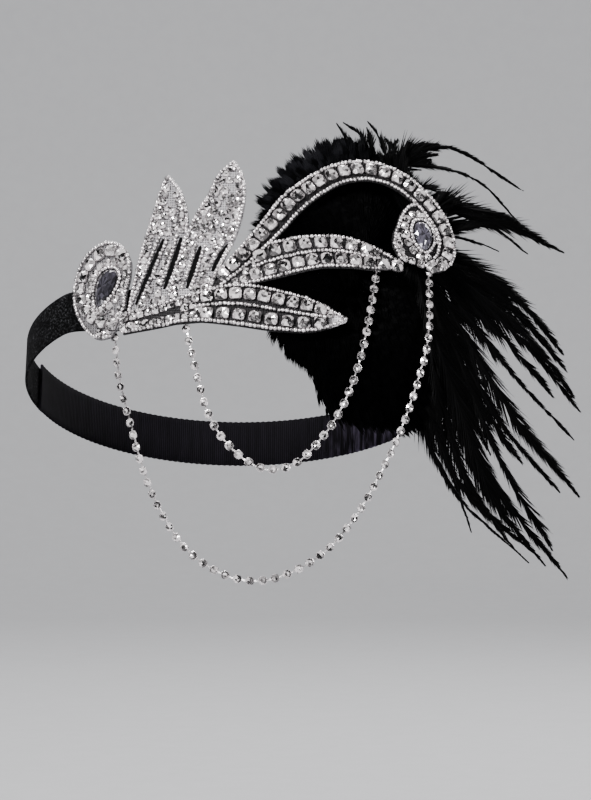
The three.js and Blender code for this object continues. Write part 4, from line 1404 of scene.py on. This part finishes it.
def bead_paths(sizes):
    """The bead lines: motif edges that lie open, inner lines, slit sides and pear rims."""
    paths = []
    for motif in MOTIFS:
        line = motif_line(motif, FINE)
        reach = np.maximum(line.half - sizes.bead / MM / 2, BEAD_LEAST)
        there, back = np.array(aside(line, reach)), np.array(aside(line, -reach))
        u, w = np.concatenate((there, back[:, ::-1]), axis=1)
        keep = ~covered(motif, u, w, BEAD_COVER)
        paths += [
            sheet_path(u[part], w[part], GROUND_THICK) for part in stretches(keep, LEAST_EDGE)
        ]
    for row in BEAD_LINES:
        paths.append(sheet_path(*row_line(row, BEAD_STEPS), GROUND_THICK + LINE_LIFT))
    for slit in SLITS:
        for side in (-SLIT_PIPING, SLIT_PIPING):
            paths.append(sheet_path(*slit_side(slit, SLIT_EDGE_STEPS, side), GROUND_THICK))
    for pear in PEARS:
        paths.append(sheet_path(*pear_ring(pear, PEAR_RIM), GROUND_THICK + RIM_LIFT, True))
    return paths


def slit_shade_mesh(name, slit):
    """A narrow dark strip of painted shade that lies on the net in a slit and narrows to its ends.
    """
    half = SLIT_HALF * np.sin(math.pi * np.linspace(*SLIT_ENDS, SLIT_STEPS)) ** 0.5
    rings = [
        sheet(*slit_side(slit, SLIT_STEPS, half * side), height)[0]
        for side, height in SLIT_SECTION
    ]
    return loft(name, np.stack(rings, axis=1))


def pear_mesh(name, pear):
    """A cut pear stone: a flat back, a girdle, two rings of crown facets and a dished table."""
    rings = []
    for height, share, turn in PEAR_LAYERS:
        angle = (np.arange(PEAR_SIDES) + turn) * 2 * math.pi / PEAR_SIDES
        u, w = pear_places(pear, angle, share * pear.length / 2, share * pear.width / 2)
        rings.append(np.column_stack((u, w, np.full(PEAR_SIDES, height + STONE_SEAT))))
    flat = np.concatenate((*rings, [(pear.u, pear.w, STONE_SEAT + PEAR_DISH)]))
    at, out = (part[0] for part in sheet(np.full(1, pear.u), np.full(1, pear.w), 0.0))
    along = unit(np.cross(RISE, out))
    points = at + (flat[:, :1] - pear.u) * along + (flat[:, 1:2] - pear.w) * RISE
    points += flat[:, 2:] * out
    faces = [tuple(range(PEAR_SIDES))] + ring_faces(PEAR_SIDES, 0, PEAR_SIDES)
    girdle, crown, table, centre = (PEAR_SIDES * ring for ring in (1, 2, 3, 4))
    for side in range(PEAR_SIDES):
        after = (side + 1) % PEAR_SIDES
        faces += [
            (girdle + side, girdle + after, crown + side),
            (crown + side, girdle + after, crown + after),
            (crown + side, crown + after, table + after),
            (table + side, crown + side, table + after),
            (centre, table + side, table + after),
        ]
    mesh = closed_mesh(name, points * MM, faces)
    set_values(mesh, "facet", np.arange(len(faces)), "FACE")
    set_values(mesh, "shade", np.full(len(points), pear.shade))
    return mesh


def drape_path(drape):
    """The line of a drape, with the directions that its stones face."""
    x, z = np.array(drape.hang, float).T
    start, end = (sheet(*spot, -CHAIN_SETBACK)[0] for spot in (drape.start, drape.end))
    hang = np.column_stack((x, soft_depth(DRAPE_PLAN, x, z), z))
    points = smooth_path(np.vstack((start, hang, end)), np.linspace(0, 1, DRAPE_STEPS))
    return Path(points, soft_outward(DRAPE_PLAN, points[:, 0], points[:, 2]))


def pad_point(x, z, face, fullness):
    """A point on the front or back of the pad."""
    half = PAD_LEAST_HALF + PAD_SWELL * np.maximum(x - PAD_SWELL_FROM, 0.0)
    depth = soft_depth(PAD_PLAN, x, z) + face * half * fullness * PAD_CORE
    return np.stack(np.broadcast_arrays(x, depth, z), axis=-1).astype(float)


def pad_mesh():
    """The pad's core, a lens that carries how its locks are combed, loosened and lit."""
    bearing = np.arange(PAD_SPOKES) * 2 * math.pi / PAD_SPOKES
    turn = bearing / (2 * math.pi) * len(PAD_REACH)
    row = turn.astype(int)
    reach = np.array(PAD_REACH, float) - PAD_FRINGE
    here, there = reach[row % len(reach)], reach[(row + 1) % len(reach)]
    spread = here + (there - here) * smoothstep(turn - row, 0.0, 1.0)
    faces, points, combs, looseness, lit = [], [], [], [], []
    for face in (-1, 1):
        first = len(points)
        points.append(pad_point(PAD_X, PAD_Z, face, 1.0))
        combs.append(np.array((0.0, 0.0, 1.0)))
        looseness.append(PAD_TIGHT)
        lit.append(0.0)
        for share, fullness in PAD_RINGS:
            x = PAD_X + spread * share * np.cos(bearing)
            z = PAD_Z + spread * share * np.sin(bearing)
            at = pad_point(x, z, face, fullness)
            fall = np.outer(smoothstep(PAD_Z - z, 0.0, PAD_FALL_OVER), PAD_FALL)
            towards = unit(unit(np.column_stack((x - COMB_X, z - COMB_Z))) + fall)
            further = pad_point(x + towards[:, 0], z + towards[:, 1], face, fullness)
            free = np.ones(PAD_SPOKES)
            if face < 0:
                free *= smoothstep(share, *LOOSE_SHARE) * smoothstep(x, *LOOSE_X)
            high = smoothstep(z - PAD_Z, *LIT_HEIGHT) * (1 - smoothstep(x, *LIT_X))
            points += list(at)
            combs += list(unit(further - at))
            looseness += list(PAD_TIGHT + (1 - PAD_TIGHT) * free)
            lit += list(smoothstep(share, *LIT_SHARE) * high)
        inner = first + 1
        faces += [
            (first, inner + side, inner + (side + 1) % PAD_SPOKES) for side in range(PAD_SPOKES)
        ]
        faces += tube_faces(len(PAD_RINGS), PAD_SPOKES, inner)[:-2]
    rim = 1 + (len(PAD_RINGS) - 1) * PAD_SPOKES
    faces += ring_faces(PAD_SPOKES, rim, len(points) // 2 + rim)
    mesh = closed_mesh("pad_core", np.array(points) * MM, faces)
    mesh.shade_smooth()
    set_vectors(mesh, "comb", np.array(combs))
    set_values(mesh, "looseness", looseness)
    set_values(mesh, "lit", lit)
    return mesh


def plume_paths(plumes, seed):
    """The shafts of the plumes: each strand follows its plume's curve and moves aside of it."""
    random = np.random.default_rng(seed)
    steps = np.linspace(0.0, 1.0, STRAND_STEPS)
    paths = []
    for plume in plumes:
        root, _ = sheet(*plume.root, PLUME_ROOT_DEPTH)
        leave, _ = sheet(*plume.exit, PLUME_EXIT_DEPTH)
        side = unit(np.cross(np.subtract(plume.tip, plume.mid), PLUME_FACING))
        for strand in plume.form:
            points = smooth_path([root, leave, plume.mid, plume.tip], steps * strand.end)
            thirds = np.column_stack((np.linspace(0, 1, 4), strand.asides))
            points += smooth_path(thirds, steps)[:, 1:] * plume.width * side
            points += smoothstep(steps, *DRIFT_OVER)[:, None] * random.normal(0, DRIFT, 3)
            reach = np.interp(steps, *np.array(strand.reach).T) * plume.width / REACH_WIDTH
            paths.append(feather_path(points, reach))
    return paths


def wisp_paths():
    """The shafts of the wisps on the edge of the pad."""
    shares = np.linspace(0.0, 1.0, WISP_STEPS)
    paths = []
    for wisp in WISPS:
        x, z = smooth_path(wisp.points, shares).T
        points = np.column_stack((x, soft_depth(PAD_PLAN, x, z), z))
        paths.append(feather_path(points, np.interp(shares, *np.array(wisp.reach).T)))
    return paths


# Properties

def length_property(name, description, default):
    """A size in metres that shows as a length, given in millimetres."""
    return FloatProperty(
        name=name, description=description, default=default * MM, unit="LENGTH", precision=5,
    )


def colour_property(name, description, default):
    """A linear colour."""
    return FloatVectorProperty(
        name=name, description=description, default=default, subtype="COLOR", size=3,
        min=0.0, max=1.0,
    )


class HeadpieceSizes(bpy.types.PropertyGroup):
    """Sizes of the details that dress the solids."""

    ribbon_width: length_property("Ribbon width", "Width of the velvet ribbon", 20)
    ribbon_thick: length_property("Ribbon thickness", "Thickness of the velvet ribbon", 1.2)
    elastic_width: length_property("Elastic width", "Width of the elastic", 23)
    elastic_thick: length_property("Elastic thickness", "Thickness of the elastic", 1.2)
    big_stone: length_property("Big stone", "Width of the set stones in the main rows", 5.5)
    big_pitch: length_property("Big stone pitch", "Distance between stones in the main rows", 6.1)
    small_stone: length_property("Small stone", "Width of the stones that fill the leaves", 3.4)
    small_pitch: length_property("Small stone pitch", "Least distance between those stones", 3.45)
    ring_stone: length_property("Ring stone", "Width of the stones round the big cut stones", 3.7)
    ring_pitch: length_property("Ring stone pitch", "Distance between those stones", 3.85)
    bead: length_property("Bead", "Width of the seed beads along the edges", 1.8)
    bead_pitch: length_property("Bead pitch", "Distance between seed beads", 1.72)
    chain_stone: length_property("Chain stone", "Width of a cup of the chains", 3.6)
    lock_length: length_property("Lock length", "Length of the locks on the feather pad", 8.6)
    lock_density: FloatProperty(
        name="Lock density", description="Locks on a square metre of the pad",
        default=215000.0, min=0.0,
    )
    barb_pitch: length_property("Barb pitch", "Distance between barbs along a shaft", 0.55)
    barb_width: length_property("Barb width", "Width of a barb at its root", 0.62)
    barb_lean: FloatProperty(
        name="Barb lean", description="Angle of the barbs to their shaft",
        default=math.radians(12), subtype="ANGLE",
    )
    shaft: length_property("Shaft radius", "Radius of a plume's shaft at its root", 0.45)
    seed: IntProperty(name="Seed", description="Seed of all that is scattered", default=7, min=0)


class HeadpieceColours(bpy.types.PropertyGroup):
    """Colours of the finishes."""

    velvet: colour_property("Velvet", "Colour of the ribbon's pile", (0.0012, 0.0012, 0.0013))
    elastic: colour_property("Elastic", "Colour of the elastic", (0.0018, 0.0015, 0.0023))
    net: colour_property("Net", "Colour of the ground between stones", (0.006, 0.0055, 0.006))
    bare_net: colour_property("Bare net", "Colour of the ground where bare", (0.5, 0.48, 0.5))
    silver: colour_property("Silver", "Colour of settings, beads and cups", (0.9, 0.85, 0.86))
    crystal: colour_property("Crystal", "Colour of the clear stones", (0.98, 0.925, 0.93))
    slate: colour_property("Slate", "Colour of the two big stones", (0.047, 0.044, 0.057))
    feather: colour_property("Feather", "Colour of the feathers", (0.0005, 0.0005, 0.0006))
    floor: colour_property("Floor", "Colour of the studio floor", (0.37, 0.37, 0.38))


# Operators

class HEADPIECE_OT_stage(bpy.types.Operator):
    """Make the camera, the lamps and the pale floor"""

    bl_idname = "headpiece.stage"
    bl_label = "Stage"

    def execute(self, context):
        lens = bpy.data.cameras.new("camera")
        lens.lens = CAMERA_LENS
        camera = new_object("camera", lens)
        camera.location = CAMERA_PLACE
        camera.rotation_euler = (math.pi / 2, 0, 0)
        context.scene.camera = camera
        for lamp in LAMPS:
            light = bpy.data.lights.new(lamp.name, "AREA")
            light.size, light.energy = lamp.size, lamp.power
            made = new_object(lamp.name, light)
            made.location = lamp.place
            towards = Vector(lamp.aim) - Vector(lamp.place)
            made.rotation_euler = towards.to_track_quat("-Z", "Y").to_euler()
            made.visible_camera = False
        world = bpy.data.worlds.new("studio")
        world.use_nodes = True
        sky = world.node_tree.nodes["Background"].inputs
        sky["Color"].default_value, sky["Strength"].default_value = SKY_COLOUR, SKY_STRENGTH
        context.scene.world = world
        floor = new_object("floor", floor_mesh())
        floor.data.materials.append(finish("pale_floor"))
        return {"FINISHED"}


class HEADPIECE_OT_headband(bpy.types.Operator):
    """Make the velvet ribbon, the elastic and the stitches that join them"""

    bl_idname = "headpiece.headband"
    bl_label = "Headband"

    def execute(self, context):
        sizes = context.scene.headpiece_sizes
        left, right = math.pi - SEAM_BEARING, 2 * math.pi + SEAM_BEARING
        bearings = np.linspace(left, right, RIBBON_STEPS)
        thick, width = sizes.ribbon_thick / MM, sizes.ribbon_width / MM
        mesh, length = band_mesh("velvet_ribbon", bearings, 0.0, thick, width, 0.0)
        ribbon = add_plain_piece("velvet_ribbon", mesh, "velvet_pile", "velvet", "ribbon_front")
        bearings = np.linspace(SEAM_BEARING - SEAM_LAP, left + SEAM_LAP, ELASTIC_STEPS)
        thick, width = sizes.elastic_thick / MM, sizes.elastic_width / MM
        mesh, back_length = band_mesh("elastic_band", bearings, -GAP - thick, -GAP, width, RIPPLE)
        elastic = add_plain_piece(
            "elastic_band", mesh, "ribbed_elastic", "elastic", "elastic_back",
        )
        stitch = tube_item("stitch", 6, [(0.3, -0.95), (0.3, 0.95)], 0.15)
        mesh = grown("seam_stitches", paths_mesh("seam_lines", seam_paths(sizes)), setting_tree(), {
            "Spacing": 2.0 * MM, "Size": 0.8 * MM, "Size Spread": 0.08, "Tilt": 0.08,
            "Seed": sizes.seed, "Item": stitch, "Setting": finish("dark_backing"),
            "Stone": finish("dark_backing"),
        })
        bpy.data.objects.remove(stitch)
        stitches = add_piece("seam_stitches", mesh, "velvet")
        return {"FINISHED"}


class HEADPIECE_OT_grounds(bpy.types.Operator):
    """Make the net ground of each motif of the applique"""

    bl_idname = "headpiece.grounds"
    bl_label = "Applique grounds"

    def execute(self, context):
        for order, motif in enumerate(MOTIFS):
            mesh, area, strip = ground_mesh(motif, GROUND_TUCK * order)
            piece = add_plain_piece("ground_" + motif, mesh, "silver_net", "silver_mesh", motif)
        return {"FINISHED"}


class HEADPIECE_OT_stones(bpy.types.Operator):
    """Set the rows of stones, the small stones of the leaves and the rings round the big stones"""

    bl_idname = "headpiece.stones"
    bl_label = "Set stones"

    def execute(self, context):
        sizes = context.scene.headpiece_sizes
        stone, tree = set_stone(), setting_tree()
        looks = {"Item": stone, "Setting": finish("silver_plate"), "Stone": finish("cut_crystal")}
        for order, (solid, line) in enumerate(big_stone_lines().items()):
            source = paths_mesh(solid + "_line", [sheet_path(*line, STONE_SEAT)])
            mesh = grown("set_" + solid, source, tree, {
                "Spacing": sizes.big_pitch, "Size": sizes.big_stone / 2, "Size Spread": 0.03,
                "Tilt": 0.09, "Seed": sizes.seed + ROW_SEEDS * order, **looks,
            })
            add_piece("set_" + solid, mesh, "rhinestone", solid)
        mesh = grown("small_stones", field_mesh(sizes), setting_tree(on_spots=True), {
            "Size": sizes.small_stone / 2, "Size Spread": 0.08, "Tilt": 0.22,
            "Seed": sizes.seed + SMALL_SEED, **looks,
        })
        add_piece("small_stones", mesh, "rhinestone")
        mesh = grown("ring_stones", paths_mesh("ring_stone_lines", ring_paths(sizes)), tree, {
            "Spacing": sizes.ring_pitch, "Size": sizes.ring_stone / 2, "Size Spread": 0.06,
            "Tilt": 0.2, "Seed": sizes.seed + RING_SEED, **looks,
        })
        add_piece("ring_stones", mesh, "rhinestone")
        bpy.data.objects.remove(stone)
        return {"FINISHED"}


class HEADPIECE_OT_piping(bpy.types.Operator):
    """Sew the seed beads along edges, between rows and round the big stones, and lay dark strips of
    painted shade in the slits
    """

    bl_idname = "headpiece.piping"
    bl_label = "Bead piping"

    def execute(self, context):
        sizes = context.scene.headpiece_sizes
        bead = seed_bead()
        mesh = grown("bead_piping", paths_mesh("bead_lines", bead_paths(sizes)), setting_tree(), {
            "Spacing": sizes.bead_pitch, "Size": sizes.bead / 2, "Size Spread": 0.1, "Tilt": 0.25,
            "Seed": sizes.seed + BEAD_SEED, "Item": bead, "Setting": finish("silver_plate"),
            "Stone": finish("silver_plate"),
        })
        bpy.data.objects.remove(bead)
        add_piece("bead_piping", mesh, "silver_mesh")
        # Dark strips laid on the net in the slits stand for the shade in the gaps between stone
        # rows: painted shade
        for order, slit in enumerate(SLITS):
            name = "slit_%d" % order
            add_plain_piece(name, slit_shade_mesh(name, slit), "dark_backing", "velvet")
        return {"FINISHED"}


class HEADPIECE_OT_pears(bpy.types.Operator):
    """Make the two big slate stones in the eyes of the paisleys"""

    bl_idname = "headpiece.pears"
    bl_label = "Big slate stones"

    def execute(self, context):
        for pear in PEARS:
            name = "cut_" + pear.node
            mesh = pear_mesh(name, pear)
            add_plain_piece(name, mesh, "slate_crystal", "slate_stone", pear.node)
        return {"FINISHED"}


class HEADPIECE_OT_chains(bpy.types.Operator):
    """Hang the two drapes of cup chain"""

    bl_idname = "headpiece.chains"
    bl_label = "Chain drapes"

    def execute(self, context):
        sizes = context.scene.headpiece_sizes
        link, tree = chain_link(CHAIN_PITCH * MM / sizes.chain_stone), setting_tree()
        for order, drape in enumerate(DRAPES):
            source = paths_mesh(drape.node + "_line", [drape_path(drape)])
            mesh = grown("cup_" + drape.node, source, tree, {
                "Spacing": CHAIN_CLOSE * CHAIN_PITCH * MM, "Size": sizes.chain_stone / 2,
                "Size Spread": 0.0, "Tilt": 0.05,
                "Seed": sizes.seed + CHAIN_SEED + CHAIN_SEEDS * order, "Item": link,
                "Setting": finish("silver_plate"), "Stone": finish("cut_crystal"),
            })
            add_piece("cup_" + drape.node, mesh, "cup_chain", drape.node)
        bpy.data.objects.remove(link)
        return {"FINISHED"}


class HEADPIECE_OT_pad(bpy.types.Operator):
    """Make the feather pad"""

    bl_idname = "headpiece.pad"
    bl_label = "Feather pad"

    def execute(self, context):
        sizes = context.scene.headpiece_sizes
        lock = feather_item("feather_tuft", LOCK, 0.14)
        mesh = grown("feather_fluff", pad_mesh(), fluff_tree(), {
            "Density": sizes.lock_density, "Length": sizes.lock_length, "Lift": 0.28,
            "Spread": 0.24, "Seed": sizes.seed + LOCK_SEED, "Lock": lock,
            "Material": finish("black_fluff"),
        })
        bpy.data.objects.remove(lock)
        add_piece("feather_fluff", mesh, "feather", "feather_pad")
        return {"FINISHED"}


class HEADPIECE_OT_plumes(bpy.types.Operator):
    """Make the spray of plumes"""

    bl_idname = "headpiece.plumes"
    bl_label = "Plume spray"

    def execute(self, context):
        sizes = context.scene.headpiece_sizes
        barb, tree = feather_item("feather_barb", BARB, 1.0), barb_tree()
        seed = sizes.seed + STRAND_SEED
        groups = {
            "plumes_upper": plume_paths(PLUMES[:UPPER_PLUMES], seed) + wisp_paths(),
            "plumes_lower": plume_paths(PLUMES[UPPER_PLUMES:], seed + 1),
        }
        for order, (name, shafts) in enumerate(groups.items()):
            mesh = grown(name, paths_mesh(name + "_shafts", shafts), tree, {
                "Spacing": sizes.barb_pitch, "Barb Width": sizes.barb_width,
                "Lean": sizes.barb_lean, "Spread": 0.07, "Parting": 0.37, "Shaft": sizes.shaft,
                "Seed": sizes.seed + BARB_SEED + BARB_SEEDS * order, "Barb": barb,
                "Material": finish("black_barbs"),
            })
            add_piece(name, mesh, "feather", "plume_spray")
        bpy.data.objects.remove(barb)
        return {"FINISHED"}


class HEADPIECE_PT_sidebar(bpy.types.Panel):
    """The headpiece's pieces, sizes and colours"""

    bl_idname = "HEADPIECE_PT_sidebar"
    bl_label = "Headpiece"
    bl_space_type = "VIEW_3D"
    bl_region_type = "UI"
    bl_category = "Headpiece"

    def draw(self, context):
        for step in STEPS:
            self.layout.operator(step.bl_idname)
        for group in (context.scene.headpiece_sizes, context.scene.headpiece_colours):
            box = self.layout.box()
            for key in group.__annotations__:
                box.prop(group, key)


STEPS = [
    HEADPIECE_OT_stage, HEADPIECE_OT_headband, HEADPIECE_OT_grounds, HEADPIECE_OT_stones,
    HEADPIECE_OT_piping, HEADPIECE_OT_pears, HEADPIECE_OT_chains, HEADPIECE_OT_pad,
    HEADPIECE_OT_plumes,
]
CLASSES = [HeadpieceSizes, HeadpieceColours, *STEPS, HEADPIECE_PT_sidebar]


def register():
    """Adds the classes and the scene's properties."""
    for item in CLASSES:
        bpy.utils.register_class(item)
    bpy.types.Scene.headpiece_sizes = PointerProperty(type=HeadpieceSizes)
    bpy.types.Scene.headpiece_colours = PointerProperty(type=HeadpieceColours)


def unregister():
    """Takes them away again."""
    del bpy.types.Scene.headpiece_colours
    del bpy.types.Scene.headpiece_sizes
    for item in reversed(CLASSES):
        bpy.utils.unregister_class(item)


def main():
    """Builds the looks in order."""
    register()
    for name in (
        "stage", "headband", "grounds", "stones", "piping", "pears", "chains", "pad", "plumes",
    ):
        getattr(bpy.ops.headpiece, name)()


if __name__ == "__main__":
    main()
